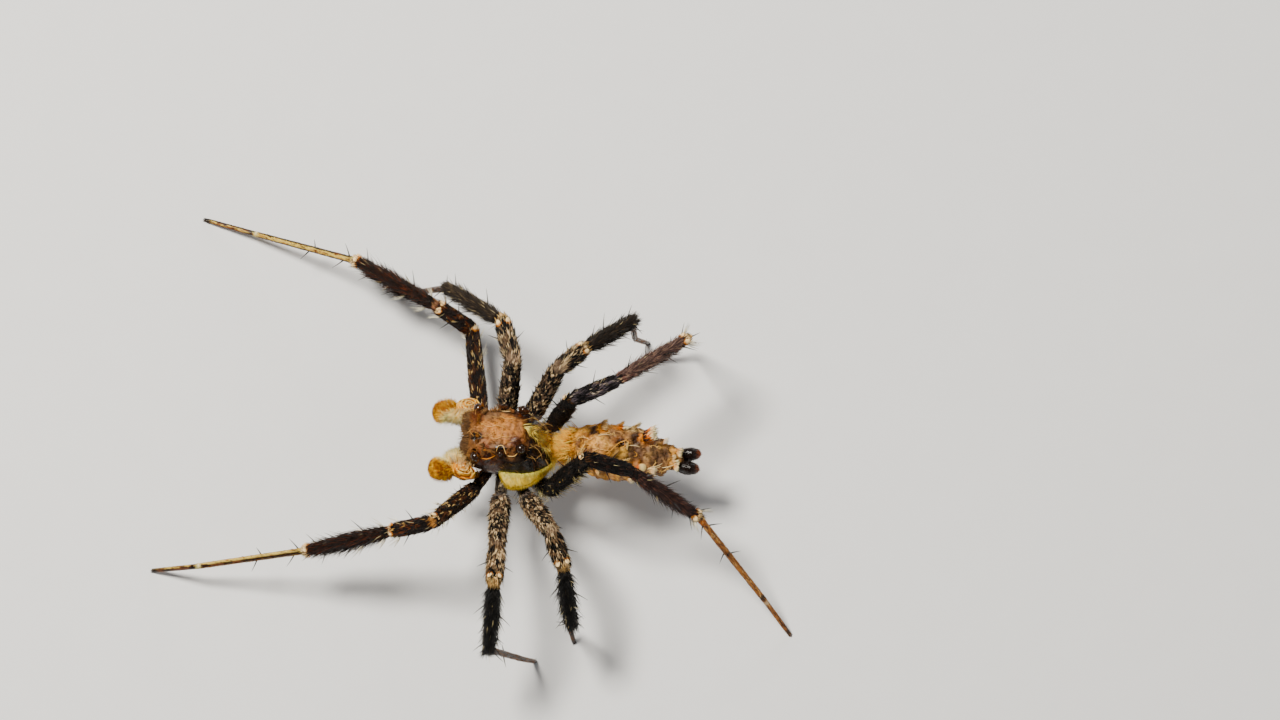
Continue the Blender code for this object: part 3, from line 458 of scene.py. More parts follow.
def carapace_sheet():
    rows = station_grid(CARAPACE_STATIONS, 132, 176, BOX_POWER, 0.022)
    rows = capped(rows, 0.02)
    rows[:, :, 0] = np.clip(rows[:, :, 0], -1.19 + COAT_DEPTH * 0.5, 1.16)
    sheet = Sheet("carapace", rows, TILES["carapace"])
    sheet.push(np.full(rows.shape[:2], -COAT_DEPTH))
    g = sheet.grid
    for place, radius, look in EYES.values():
        for side in (-1, 1):
            centre = mirrored(place, side)
            axis = unit(mirrored(look, side))
            rim = radius + (0.055 if radius < LARGE_EYE else 0.035)
            centre = centre - axis * radius * 0.45
            gap = g - centre
            far = np.linalg.norm(gap, axis=-1)
            outward = dot(gap, axis)[..., 0] > -0.02
            lift = np.where(outward & (far < rim), rim - far, 0.0)
            skirt = np.where(outward, 0.30 * radius * np.exp(-((far - rim) / (0.6 * radius)) ** 2), 0.0)
            skirt = np.where(far < rim, 0.30 * radius, skirt)
            g = g + unit(gap) * (lift + skirt * 0.35)[..., None]
    sheet.grid = g
    sheet.measure()
    # the head's plate is parted from the thorax by a shallow groove, and the surface is uneven
    x, y = sheet.grid[..., 0], sheet.grid[..., 1]
    top = smooth(sheet.normal[..., 2], 0.2, 0.7)
    groove = np.exp(-((x - 0.47 - 0.25 * y * y) / 0.06) ** 2) * top * 0.035
    dimple = np.exp(-((x - 0.16) ** 2 + (y * 1.4) ** 2) / 0.05) * 0.03
    swell = (noise(sheet.grid, 0.22, 3) - 0.5) * 0.04 + (noise(sheet.grid, 0.09, 4) - 0.5) * 0.018
    ridge = np.exp(-((np.abs(y) - 0.50) / 0.05) ** 2) * top
    ridge = ridge * smooth(x, -1.0, -0.6) * smooth(-x, -0.4, 0) * 0.03
    sheet.push(swell - groove - dimple + ridge)
    return sheet.placed(from_prosoma)


def abdomen_sheet():
    rows = station_grid(ABDOMEN_STATIONS, 150, 144, 2.0, 0.02)
    rows = capped(rows, 0.05)
    sheet = Sheet("abdomen", rows, TILES["abdomen"])
    sheet.push(np.full(rows.shape[:2], -COAT_DEPTH * 1.2))
    p = sheet.grid
    folds = (noise(p, 0.36, 11) - 0.5) * 0.11
    crease = np.abs(noise(p * np.array((0.8, 1, 1)), 0.24, 14) - 0.5) * 2
    folds += (crease - 0.4) * 0.09
    folds += (noise(p, 0.13, 12) - 0.5) * 0.06
    folds += (noise(p, 0.06, 13) - 0.5) * 0.03
    mounds = [(x, angle, size, size) for x, angle, size in ABDOMEN_MOUNDS]
    pits = [(x, angle, size, -depth) for x, angle, size, depth in ABDOMEN_PITS]
    for x, angle, size, height in mounds + pits:
        far = np.linalg.norm(p - abdomen_point(x, angle), axis=-1)
        folds += height * np.exp(-(far / size) ** 2)
    sheet.push(folds * smooth(p[..., 0], 0.1, 0.4) - 0.012)
    # the fold heights also drive the painted shade and light of the folds in the colour
    sheet.extra["fold"] = folds[..., None].copy()
    return sheet.placed(from_abdomen)


def abdomen_point(x, degrees):
    """A place on the abdomen's surface: degrees from its top towards the right side."""
    s = np.array(ABDOMEN_STATIONS)
    half, low, high = (np.interp(x, s[:, 0], s[:, c]) for c in (1, 2, 3))
    angle = math.radians(degrees)
    return np.array((
        x,
        math.sin(angle) * half,
        (low + high) / 2 + math.cos(angle) * (high - low) / 2,
    ))


# Raised roots of the abdomen's tufts: x, degrees from the top, size
ABDOMEN_MOUNDS = (
    (0.98, 50, 0.12), (0.95, -52, 0.12), (1.45, 62, 0.09), (1.50, -62, 0.09), (1.85, 72, 0.10),
    (2.16, 36, 0.14), (2.12, -44, 0.11), (2.38, -52, 0.08), (2.62, 42, 0.08), (3.02, 32, 0.08),
    (3.00, -40, 0.08), (1.80, -74, 0.10),
)
# Dark pits: x, degrees from the top, size, depth
ABDOMEN_PITS = (
    (0.90, 44, 0.07, 0.06), (0.90, -46, 0.07, 0.06), (1.60, 6, 0.08, 0.07), (2.04, 34, 0.07, 0.06),
    (0.52, 6, 0.05, 0.05), (0.70, -14, 0.05, 0.04), (1.25, -20, 0.06, 0.03), (1.98, -12, 0.06, 0.04),
)


def sternum_sheet():
    share = np.linspace(0, 1, 26)
    half = 0.34 * np.sqrt(np.clip(1 - (2 * share - 1) ** 4, 0.02, 1))
    x = -0.60 + 1.28 * share
    t = np.arange(36) / 36 * TAU
    y = np.cos(t)[None] * half[:, None]
    z = -0.83 + np.sin(t)[None] * np.minimum(half[:, None] * 0.6, 0.15)
    grid = np.stack((np.broadcast_to(x[:, None], y.shape), y, z), axis=-1)
    return Sheet("sternum", capped(grid, 0.02), TILES["sternum"]).placed(from_prosoma)


def profile_radii(profile, radius):
    table = np.array(profile)
    return lambda share: np.interp(share, table[:, 0], table[:, 1]) * radius


def jaw_sheet(side):
    word = "right" if side > 0 else "left"
    points = [from_prosoma(mirrored(p, side)) for p in (CHELICERA_TOP, CHELICERA_TIP)]
    radii = profile_radii(CHELICERA_PROFILE, CHELICERA_RADIUS - 0.02)
    grid, _ = tube_grid(points, radii, 28, 0.03, 0.02, upper=(-1, 0, 0))
    return Sheet("jaw_" + word, capped(grid, 0.04), TILES["jaw_" + word])


def pedicel_sheet():
    grid, _ = tube_grid([(-0.24, 0, 2.19), (0.16, 0, 2.27)], [0.12, 0.12], 24, 0.03, 0.02)
    return Sheet("pedicel", grid, TILES["pedicel"])


def spinneret_sheets():
    sheets = []
    for number, (start, end, radius) in enumerate(SPINNERETS):
        for side in (1, -1):
            points = [from_abdomen(mirrored(p, side)) for p in (start, end)]
            radii = profile_radii(SPINNERET_PROFILE, radius - 0.012)
            grid, _ = tube_grid(points, radii, 24, 0.02, 0.02)
            name = "spin_%d" % (number * 2 + (side < 0))
            sheets.append(Sheet(name, capped(grid, 0.03), TILES[name]))
    grid, _ = tube_grid([from_abdomen((3.02, 0, -0.10)), from_abdomen((3.32, 0, -0.14))],
                        [0.16, 0.10], 24, 0.03, 0.02)
    sheets.append(Sheet("hub", capped(grid, 0.04), TILES["hub"]))
    return sheets


def palp_sheet(side):
    """Stalk and tip of a palp as one tube, with a table that goes from 0 to 1 along the tip."""
    word = "right" if side > 0 else "left"
    points = [from_prosoma(mirrored(p, side)) for p in (*PALP_JOINTS, PALP_TIP)]
    marks = marks_of(np.array(points))
    whole = marks[-1]
    tip_start = marks[3] / whole
    base = np.array(PALP_RADII) - 0.05

    def radii(share):
        stalk = np.interp(share * whole, marks[:4], base)
        t = (share - tip_start) / (1 - tip_start)
        ball = profile_radii(PALP_TIP_PROFILE, PALP_TIP_RADIUS)(t)
        return np.where(t > 0, np.minimum(ball, PALP_TIP_RADIUS), stalk)

    grid, share = tube_grid(points, radii, 32, 0.03, 0.05)
    rows = capped(grid, 0.04)
    ring_shares = np.concatenate((np.zeros(CAP_RINGS), share, np.ones(CAP_RINGS)))
    t = (ring_shares - tip_start) / (1 - tip_start)
    table = np.broadcast_to(t[:, None, None], (*rows.shape[:2], 1)).copy()
    return Sheet("palp_" + word, rows, TILES["palp_" + word], extra={"tip": table})


# legs
def direction(heading, pitch):
    h, p = math.radians(heading), math.radians(pitch)
    return np.array((math.cos(p) * math.cos(h), math.cos(p) * math.sin(h), math.sin(p)))


def leg_joints(leg):
    number = int(leg[3])
    side = side_of(leg)
    headings, pitches = POSES[leg]
    lengths = LEG_LENGTHS[number]
    joints = [from_prosoma(mirrored(p, side)) for p in COXAE[number]]
    for heading, pitch, length in zip(headings, pitches, lengths):
        joints.append(joints[-1] + direction(heading, pitch) * length)
    pitch = -math.degrees(math.asin((joints[-1][2] - FOOT_HEIGHT) / lengths[4]))
    joints.append(joints[-1] + direction(headings[4], pitch) * lengths[4])
    return joints


def upper_side(way):
    """The side of a limb that faces up, squared to its way."""
    return unit(UPWARD - way * np.dot(UPWARD, way))


RING_STEP = 0.05
LEG_SIDES = 16


def leg_sheet(leg):
    joints = np.array(leg_joints(leg))
    marks = marks_of(joints)
    lengths = lengths_of(joints)
    whole = marks[-1]
    s = np.linspace(0, whole, int(whole / FINE_STEP))
    fine = s[1] - s[0]
    middle = table_at(s, marks, joints)
    part = np.clip(np.searchsorted(marks, s, side="right") - 1, 0, 5)
    share = (s - marks[part]) / lengths[part]
    ups = np.array([upper_side(unit(b - a)) for a, b in zip(joints[:-1], joints[1:])])
    up = blurred(ups[part], 0.11 / fine)
    middle = blurred(middle, 0.05 / fine)
    radius = np.zeros(len(s))
    for k in range(SEGMENTS):
        table = np.array(SEGMENT_PROFILES[k])
        here = part == k
        radius[here] = np.interp(share[here], table[:, 0], table[:, 1]) * (SEGMENT_RADII[k] - COAT[k])
    radius = blurred(radius, 0.03 / fine)
    for k in range(1, SEGMENTS):
        near = np.exp(-((s - marks[k]) / 0.07) ** 2)
        radius = radius * (1 - JOINT_NIP[k] * near)
    at = np.linspace(0, whole, int(whole / RING_STEP))
    index = at / fine
    steps = np.arange(len(s))
    middle = table_at(index, steps, middle)
    up = table_at(index, steps, up)
    radius = np.interp(index, steps, radius)
    way = unit(np.gradient(middle, axis=0))
    up = unit(up - way * dot(up, way))
    grid = capped(ring_points(middle, up, np.cross(way, up), radius, LEG_SIDES), 0.03)
    angle = np.arange(LEG_SIDES) / LEG_SIDES * TAU
    pad = np.concatenate((np.zeros(CAP_RINGS), at, np.full(CAP_RINGS, whole)))
    part = np.clip(np.searchsorted(marks, pad, side="right") - 1, 0, 5)
    share = (pad - marks[part]) / lengths[part]
    shape = (*grid.shape[:2], 1)
    extra = {
        "part": np.broadcast_to(part[:, None, None].astype(float), shape),
        "share": np.broadcast_to(share[:, None, None], shape),
        "run": np.broadcast_to(pad[:, None, None], shape),
        "angle": np.broadcast_to(angle[None, :, None], shape),
    }
    grid[..., 2] = np.maximum(grid[..., 2], SHEET_GAP)
    sheet = Sheet(leg, grid, TILES[leg], extra=extra)
    sheet.marks = marks
    sheet.lengths = lengths
    sheet.joints = joints
    sheet.number = int(leg[3])
    sheet.side = side_of(leg)
    return sheet


# Coat depth on each segment, and how far each joint is nipped in
COAT = (0.03, 0.025, 0.025, 0.035, 0.015, 0.01)
JOINT_NIP = (0.0, 0.16, 0.14, 0.16, 0.10, 0.12)


# markings
BLACK = tone(14, 9, 8)
THORAX = tone(26, 17, 13)
PLATE = tone(180, 127, 85)
PLATE_WARM = tone(210, 143, 82)
PLATE_MARGIN = tone(132, 98, 70)
CREAM = tone(255, 240, 205)
ABDOMEN_FRONT = tone(246, 183, 114)
ABDOMEN_MIDDLE = tone(222, 171, 119)
ABDOMEN_REAR = tone(167, 130, 95)
CRESCENT = tone(240, 208, 114)
CRESCENT_EDGE = tone(255, 234, 156)
CRESCENT_LOW = tone(190, 158, 68)


def fading(far, radius, soft):
    """1 near the middle and 0 past the radius."""
    return 1 - smooth(far, radius * (1 - soft), radius * (1 + soft * 0.3))


HEIGHT_SPARE = 0.25  # a spot on top reaches this far up and down with no change


def around_point(p, centre, radius, soft):
    return fading(np.linalg.norm((p - np.array(centre)), axis=-1), radius, soft)


def around_top(p, centre, radius, soft):
    """Like around_point, but a small difference in height doesn't count."""
    off = p - np.array(centre)
    off[..., 2] = np.maximum(np.abs(off[..., 2]) - HEIGHT_SPARE, 0.0)
    return fading(np.linalg.norm(off, axis=-1), radius, soft)


def around_flank(p, centre, radius, soft):
    """Like around_point, but a small difference in distance from the abdomen's middle line doesn't count."""
    out = unit(np.array((0.0, centre[1], centre[2])))
    off = p - np.array(centre)
    rise = dot(off, out)
    far = np.linalg.norm(off - rise * out, axis=-1)
    return fading(far + np.maximum(np.abs(rise[..., 0]) - HEIGHT_SPARE, 0.0), radius, soft)


# Middle line of the yellow stripe on the carapace: x, y, half width
STRIPE = ((0.34, 0.12, 0.012), (0.48, 0.10, 0.05), (0.64, 0.08, 0.11), (0.80, 0.06, 0.16), (0.95, 0.03, 0.19),
          (1.14, -0.02, 0.24))


def stripe_weight(p):
    s = np.array(STRIPE)
    y = np.interp(p[..., 0], s[:, 0], s[:, 1])
    half = np.interp(p[..., 0], s[:, 0], s[:, 2])
    edge = np.abs(p[..., 1] - y) - half * (0.75 + 0.5 * noise(p, 0.08, 21))
    return (1 - smooth(edge, -0.02, 0.03)) * (p[..., 0] > 0.30) * (p[..., 2] > -0.45)


def carapace_colour(p):
    """Colour at the places p in the prosoma's frame."""
    x, y, z = p[..., 0], p[..., 1], p[..., 2]
    wobble = noise(p, 0.20, 22) - 0.5
    fine = noise(p, 0.07, 23) - 0.5
    plate = (1 - smooth(x + 0.25 * wobble + 0.15 * y * y, 0.34, 0.50)) * smooth(z + 0.20 * wobble, 0.30, 0.44)
    warm = around_point(p, (-0.35, 0.02, 0.76), 0.55, 0.9)
    warm = np.maximum(warm, around_point(p, (0.10, -0.15, 0.82), 0.40, 0.9))
    colour = mix(PLATE_MARGIN, PLATE, smooth(0.62 - np.abs(y) + wobble * 0.5, 0.0, 0.35))
    colour = mix(colour, PLATE_WARM, warm * (0.45 + wobble))
    colour = mix(colour, tone(214, 150, 92), smooth(fine, 0.08, 0.28) * 0.4)
    colour = mix(colour, tone(112, 72, 46), smooth(-fine, 0.06, 0.26) * 0.5)
    blotch = noise(p, 0.30, 28)
    colour = mix(colour, tone(110, 78, 54), smooth(blotch, 0.52, 0.74) * 0.55)
    grey = around_point(p, (-0.60, 0.55, 0.62), 0.38, 0.9)
    colour = mix(colour, tone(134, 104, 78), grey * 0.7)
    side = mix(tone(36, 22, 16), tone(84, 50, 34), noise(p, 0.12, 24))
    side = mix(side, BLACK, smooth(x + 0.3 * wobble, -0.45, 0.10))
    rear = mix(THORAX * 0.6, BLACK, noise(p, 0.15, 25))
    rear = mix(rear, tone(74, 40, 22), smooth(noise(p, 0.10, 26), 0.66, 0.85) * 0.4)
    other = mix(side, rear, smooth(x, 0.25, 0.45))
    colour = mix(other, colour, plate)
    colour = mix(colour, tone(112, 78, 52), smooth(-x, 0.72, 1.02) * smooth(z, 0.30, 0.44) * 0.55)
    # face: below and between the front eyes
    face = smooth(-x, 0.98, 1.10) * (1 - smooth(z, 0.28, 0.46))
    colour = mix(colour, tone(196, 150, 100), face * 0.8)
    for centre, radius, patch, strength in CARAPACE_SPOTS:
        colour = mix(colour, patch, around_top(p, centre, radius, 0.45) * strength)
    colour = mix(colour, tone(246, 212, 146), stripe_weight(p))
    return colour


# Spots of the carapace: place, radius, colour, strength
CARAPACE_SPOTS = (
    ((-0.56, 0.60, 0.60), 0.34, tone(128, 98, 74), 0.7),
    ((-0.92, 0.40, 0.58), 0.24, tone(96, 50, 28), 0.85),
    ((-0.72, -0.22, 0.66), 0.26, tone(150, 100, 64), 0.85),
    ((-0.88, -0.20, 0.64), 0.20, tone(16, 10, 7), 1.0),
    ((-0.62, -0.62, 0.55), 0.24, tone(120, 62, 26), 0.9),
    ((-0.56, -0.66, 0.46), 0.13, tone(34, 19, 11), 0.9),
    ((-0.36, -0.46, 0.62), 0.20, tone(112, 84, 60), 0.7),
    ((0.18, -0.36, 0.78), 0.30, tone(138, 92, 62), 0.85),
    ((0.16, -0.34, 0.78), 0.17, tone(74, 34, 17), 0.9),
    ((0.26, -0.60, 0.62), 0.20, tone(22, 13, 9), 0.95),
    ((-0.22, -0.56, 0.63), 0.19, tone(14, 9, 6), 1.0),
    ((-0.08, 0.64, 0.66), 0.22, tone(36, 20, 12), 0.9),
    ((0.24, 0.56, 0.70), 0.30, tone(44, 20, 11), 0.95),
    ((0.20, 0.48, 0.74), 0.09, tone(124, 66, 32), 0.9),
    ((0.46, 0.60, 0.62), 0.08, tone(104, 50, 26), 0.8),
)


def abdomen_colour(p, fold):
    """Colour at the places p in the abdomen's frame, with painted shade in the hollows of the folds and
    painted light on their crests.
    """
    x, z = p[..., 0], p[..., 2]
    big = noise(p, 0.34, 31)
    small = noise(p, 0.13, 32)
    fine = noise(p, 0.06, 33)
    colour = mix(ABDOMEN_FRONT, ABDOMEN_MIDDLE, smooth(x, 0.5, 1.0))
    colour = mix(colour, ABDOMEN_REAR, smooth(x + 0.5 * (big - 0.5), 1.35, 2.0))
    colour = mix(colour, tone(240, 190, 120), smooth(small, 0.58, 0.80) * (1 - smooth(x, 1.1, 1.7)) * 0.6)
    rear = smooth(x, 1.2, 1.8)
    colour = mix(colour, tone(190, 156, 112), smooth(small, 0.58, 0.80) * 0.5 * rear)
    colour = mix(colour, tone(104, 72, 46), smooth(1 - small, 0.60, 0.80) * (0.35 + 0.3 * rear))
    colour = mix(colour, tone(96, 66, 44), smooth(1 - fine, 0.62, 0.82) * 0.3)
    # painted shade: darker in the hollows of the folds
    colour = mix(colour, tone(74, 42, 22), smooth(-fold, 0.0, 0.06) * 0.75)
    # painted light: lighter on the crests of the folds
    colour = mix(colour, tone(244, 192, 122), smooth(fold, 0.03, 0.09) * 0.45)
    colour = mix(colour, tone(120, 86, 56), smooth(-z, 0.15, 0.40) * 0.6)
    colour = mix(colour, tone(86, 62, 44), smooth(x, 2.7, 3.1) * 0.5)
    front = 1 - smooth(x + 0.3 * (small - 0.5), 0.14, 0.34)
    colour = mix(colour, tone(236, 180, 92), front * smooth(z, -0.3, 0.1))
    for place, angle, radius, patch, strength in ABDOMEN_SPOTS:
        colour = mix(colour, patch, around_flank(p, abdomen_point(place, angle), radius, 0.45) * strength)
    return colour


# x, degrees from the top towards the right side, radius, colour, strength
ABDOMEN_SPOTS = (
    (0.90, 44, 0.25, tone(46, 25, 14), 0.95), (1.08, 46, 0.20, tone(236, 160, 78), 0.95),
    (0.90, -46, 0.25, tone(46, 25, 14), 0.85), (1.08, -50, 0.20, tone(236, 160, 78), 0.9),
    (0.50, 8, 0.17, tone(104, 68, 40), 0.85), (0.66, 22, 0.16, tone(126, 76, 40), 0.75),
    (0.74, -16, 0.18, tone(96, 52, 28), 0.85), (0.80, 0, 0.13, tone(226, 168, 100), 0.7),
    (1.42, 58, 0.17, tone(224, 150, 76), 0.85), (1.80, 66, 0.21, tone(236, 206, 156), 0.85),
    (1.34, 24, 0.29, tone(132, 98, 68), 0.75), (1.50, 12, 0.21, tone(130, 84, 48), 0.9),
    (1.60, 8, 0.21, tone(52, 27, 13), 1.0), (1.30, -22, 0.26, tone(160, 110, 46), 0.7),
    (1.56, -30, 0.34, tone(128, 100, 46), 0.75), (1.66, -8, 0.13, tone(226, 180, 110), 0.7),
    (1.98, 32, 0.25, tone(44, 23, 12), 0.95), (2.20, 34, 0.23, tone(226, 146, 64), 0.95),
    (2.00, -40, 0.20, tone(158, 106, 62), 0.9), (1.94, -10, 0.23, tone(92, 66, 46), 0.8),
    (2.36, 10, 0.21, tone(98, 76, 58), 0.7), (2.50, -24, 0.22, tone(94, 70, 52), 0.7),
    (2.30, -14, 0.13, tone(184, 148, 106), 0.7), (2.62, 42, 0.16, tone(224, 176, 116), 0.8),
    (2.74, 8, 0.18, tone(84, 62, 46), 0.75), (2.96, -30, 0.16, tone(226, 170, 104), 0.7),
    (2.96, 30, 0.16, tone(226, 170, 104), 0.7),
)

# How each leg is coloured: for coxa to tarsus the dark ground, the middle tone and how much of it,
# the pale tone and how much of it
WARM = (
    (tone(30, 20, 15), tone(90, 68, 50), 0.30, tone(190, 156, 116), 0.14),
    (tone(20, 12, 8), tone(66, 40, 24), 0.42, tone(206, 176, 130), 0.18),
    (tone(20, 12, 9), tone(84, 46, 26), 0.42, tone(220, 180, 124), 0.14),
    (tone(14, 9, 6), tone(74, 38, 20), 0.36, tone(170, 116, 66), 0.05),
    (tone(92, 52, 26), tone(196, 134, 72), 0.52, tone(250, 216, 146), 0.24),
    (tone(62, 36, 20), tone(146, 92, 50), 0.46, tone(250, 216, 146), 0.14),
)
FOOT_BROWN = (
    (tone(50, 32, 22), tone(120, 80, 50), 0.45, tone(190, 150, 100), 0.12),
    (tone(56, 34, 22), tone(128, 84, 52), 0.45, tone(190, 150, 100), 0.12),
)
SPECKLED = (
    (tone(40, 34, 29), tone(104, 92, 78), 0.40, tone(186, 170, 144), 0.18),
    (tone(14, 11, 9), tone(112, 92, 74), 0.46, tone(214, 190, 158), 0.27),
    (tone(14, 11, 9), tone(116, 94, 74), 0.46, tone(218, 192, 158), 0.27),
    (tone(8, 7, 6), tone(22, 18, 15), 0.35, tone(140, 126, 104), 0.02),
) + FOOT_BROWN
SHADED = (
    (tone(34, 29, 24), tone(88, 74, 60), 0.40, tone(160, 142, 116), 0.16),
    (tone(15, 12, 10), tone(96, 80, 66), 0.44, tone(208, 184, 152), 0.24),
    (tone(15, 12, 10), tone(100, 82, 66), 0.44, tone(212, 188, 154), 0.25),
    (tone(20, 16, 14), tone(58, 49, 42), 0.35, tone(140, 128, 110), 0.04),
) + FOOT_BROWN
FOOT_ROSY = (
    (tone(88, 54, 34), tone(166, 114, 70), 0.56, tone(222, 180, 128), 0.22),
    (tone(80, 48, 30), tone(158, 106, 66), 0.55, tone(214, 170, 118), 0.2),
)
ROSY = (
    (tone(16, 12, 10), tone(60, 50, 40), 0.3, tone(206, 184, 130), 0.12),
    (tone(10, 8, 7), tone(34, 27, 22), 0.35, tone(196, 166, 120), 0.05),
    (tone(20, 17, 18), tone(84, 76, 80), 0.46, tone(206, 192, 174), 0.14),
    (tone(28, 19, 18), tone(124, 88, 80), 0.52, tone(220, 184, 154), 0.14),
) + FOOT_ROSY
WINE = (
    (tone(14, 11, 9), tone(60, 50, 38), 0.3, tone(206, 186, 130), 0.14),
    (tone(10, 8, 6), tone(40, 28, 19), 0.35, tone(206, 176, 120), 0.07),
    (tone(13, 9, 7), tone(54, 34, 27), 0.35, tone(176, 144, 108), 0.05),
    (tone(16, 10, 8), tone(100, 58, 44), 0.42, tone(206, 152, 112), 0.09),
) + FOOT_ROSY
LOOKS = {
    "leg1_right": WARM, "leg1_left": WARM, "leg2_right": SHADED, "leg2_left": SPECKLED,
    "leg3_right": SHADED, "leg3_left": SPECKLED, "leg4_right": ROSY, "leg4_left": WINE,
}
# Rings: part, share along it, reach in millimetres, colour, strength, and the angle it faces, or none
MIDDLE_LEG_RINGS = (
    (1, 0.06, 0.10, tone(120, 112, 106), 0.6, None), (1, 0.98, 0.05, tone(190, 164, 140), 0.4, None),
    (2, 0.95, 0.07, tone(246, 206, 150), 0.7, 0), (5, 0.95, 0.12, tone(20, 13, 10), 0.9, None),
)
RINGS = {
    1: ((1, 0.98, 0.04, tone(200, 146, 96), 0.7, 0), (2, 0.06, 0.06, tone(24, 14, 12), 0.6, None),
        (2, 0.97, 0.03, tone(196, 146, 116), 0.5, 0), (3, 0.985, 0.08, tone(255, 226, 150), 1.0, None),
        (4, 0.02, 0.05, tone(255, 226, 150), 0.9, None), (4, 0.975, 0.06, tone(255, 232, 170), 1.0, None),
        (5, 0.07, 0.06, tone(20, 12, 9), 0.9, None), (5, 0.96, 0.12, tone(20, 13, 10), 0.9, None)),
    2: MIDDLE_LEG_RINGS,
    3: MIDDLE_LEG_RINGS,
    4: ((1, 0.99, 0.012, tone(124, 88, 58), 0.4, 0), (3, 0.975, 0.07, tone(250, 206, 140), 0.8, 0),
        (4, 0.03, 0.10, tone(206, 120, 70), 0.7, None), (4, 0.44, 0.05, tone(18, 11, 10), 0.95, None),
        (4, 0.97, 0.07, tone(18, 11, 10), 0.95, None), (5, 0.10, 0.05, tone(220, 200, 170), 0.8, None),
        (5, 0.93, 0.10, tone(24, 16, 12), 0.9, None)),
}


def leg_colour(sheet, part, share, run, angle, scatter=None):
    """Colour at places on a leg, by segment, share along it and angle round it."""
    part = part.astype(int)
    columns = (np.array(column)[part] for column in zip(*LOOKS[sheet.name]))
    ground, middle, middle_share, pale, pale_share = columns
    seed = 40 + sheet.number * 2 + (sheet.side > 0)
    q = np.stack((run / 1.9, np.cos(angle) * 0.16, np.sin(angle) * 0.16), axis=-1)
    grain = np.zeros(part.shape) if scatter is None else scatter
    streak = noise(q, 0.060, seed) + grain * 0.22
    fleck = noise(q * np.array((1.3, 1.0, 1.0)), 0.042, seed + 40) * 0.7 + noise(q, 0.12, seed + 20) * 0.3
    fleck = fleck + grain * 0.16
    colour = mix(ground, middle, smooth(streak, 0.97 - middle_share, 1.07 - middle_share))
    colour = mix(colour, pale, smooth(fleck, 0.86 - pale_share, 0.93 - pale_share))
    if sheet.number == 1:
        # a broken cream band on top of the foot, a dark line on each side of it, and rusty patches
        foot = part >= METATARSUS
        breaks = noise(q, 0.05, seed + 70)
        gaps = np.where(part > METATARSUS, smooth(breaks, 0.46, 0.58), smooth(breaks, 0.26, 0.38))
        band = smooth(np.cos(angle + sheet.side * 0.34), 0.84, 0.94) * gaps * foot
        colour = mix(colour, tone(255, 218, 140), band)
        line = smooth(np.cos(angle - (0.80 if sheet.side > 0 else -0.62)), 0.76, 0.88) * foot
        line = np.maximum(line, smooth(np.cos(angle + sheet.side * 1.35), 0.86, 0.94) * foot)
        colour = mix(colour, tone(24, 13, 8), line * 0.95)
        rust = smooth(noise(q, 0.11, seed + 60), 0.56, 0.68) * foot
        colour = mix(colour, tone(120, 72, 42), rust * (1 - band) * 0.55)
    where = sheet.marks[part] + share * sheet.lengths[part]
    for ring_part, ring_share, reach, patch_colour, strength, faces in RINGS[sheet.number]:
        centre = sheet.marks[ring_part] + ring_share * sheet.lengths[ring_part]
        w = np.exp(-((where - centre) / reach) ** 4) * strength
        if faces is not None:
            w = w * smooth(np.cos(angle - faces), -0.2, 0.4)
        colour = mix(colour, patch_colour, w)
    return colour


def palp_colour(sheet, p, tip):
    """Golden outside and in front, brown on top, dark low in front and cream towards the head's midline."""
    side = side_of(sheet.name)
    out = unit((p - from_prosoma(mirrored(PALP_BALL, side))) @ PROSOMA_TURN)
    theta = np.arctan2(out[..., 1] * side, -out[..., 0])
    fine = noise(p, 0.05, 51)
    colour = mix(tone(150, 94, 26), tone(230, 178, 68), smooth(fine, 0.32, 0.68))
    colour = mix(colour, tone(250, 214, 116), smooth(fine, 0.62, 0.88) * 0.7)
    brown = smooth(out[..., 2], 0.35, 0.85) * smooth(noise(p, 0.15, 52), 0.30, 0.55)
    colour = mix(colour, tone(122, 72, 24), brown * 0.55)
    front = np.exp(-((theta + 0.25) / 0.6) ** 2) * smooth(0.65 - out[..., 2], 0, 0.5)
    colour = mix(colour, tone(112, 58, 22), front * 0.75)
    level = np.hypot(out[..., 0], out[..., 1])
    inner = smooth(-theta, 1.0, 1.7) * smooth(level, 0.35, 0.75)
    colour = mix(colour, tone(255, 236, 180), inner * 0.85)
    stalk = mix(tone(206, 128, 58), tone(244, 198, 124), fine)
    return mix(stalk, colour, smooth(tip, -0.10, 0.10))


# The pale crescent pad on each flank, in the prosoma's frame: x, z of its upper edge, and its width
CRESCENT_TABLE = (
    (-0.22, -0.12, 0.10), (-0.10, -0.09, 0.34), (0.08, -0.08, 0.42), (0.34, -0.11, 0.38), (0.60, -0.16, 0.32),
    (0.82, -0.23, 0.22), (1.02, -0.32, 0.12), (1.16, -0.40, 0.04),
)
CRESCENT_THICK = 0.05
CRESCENT_SIDES = 28


def flank_width(x, z):
    """The carapace's half width at x, at the height z."""
    s = np.array(CARAPACE_STATIONS)
    low_half, high_half, low, high = (np.interp(x, s[:, 0], s[:, c]) for c in range(1, 5))
    up = np.clip((z - (low + high) / 2) / ((high - low) / 2), -0.98, 0.98)
    across = (1 - np.abs(up) ** BOX_POWER) ** (1 / BOX_POWER)
    return (low_half + (high_half - low_half) * (up + 1) / 2) * across


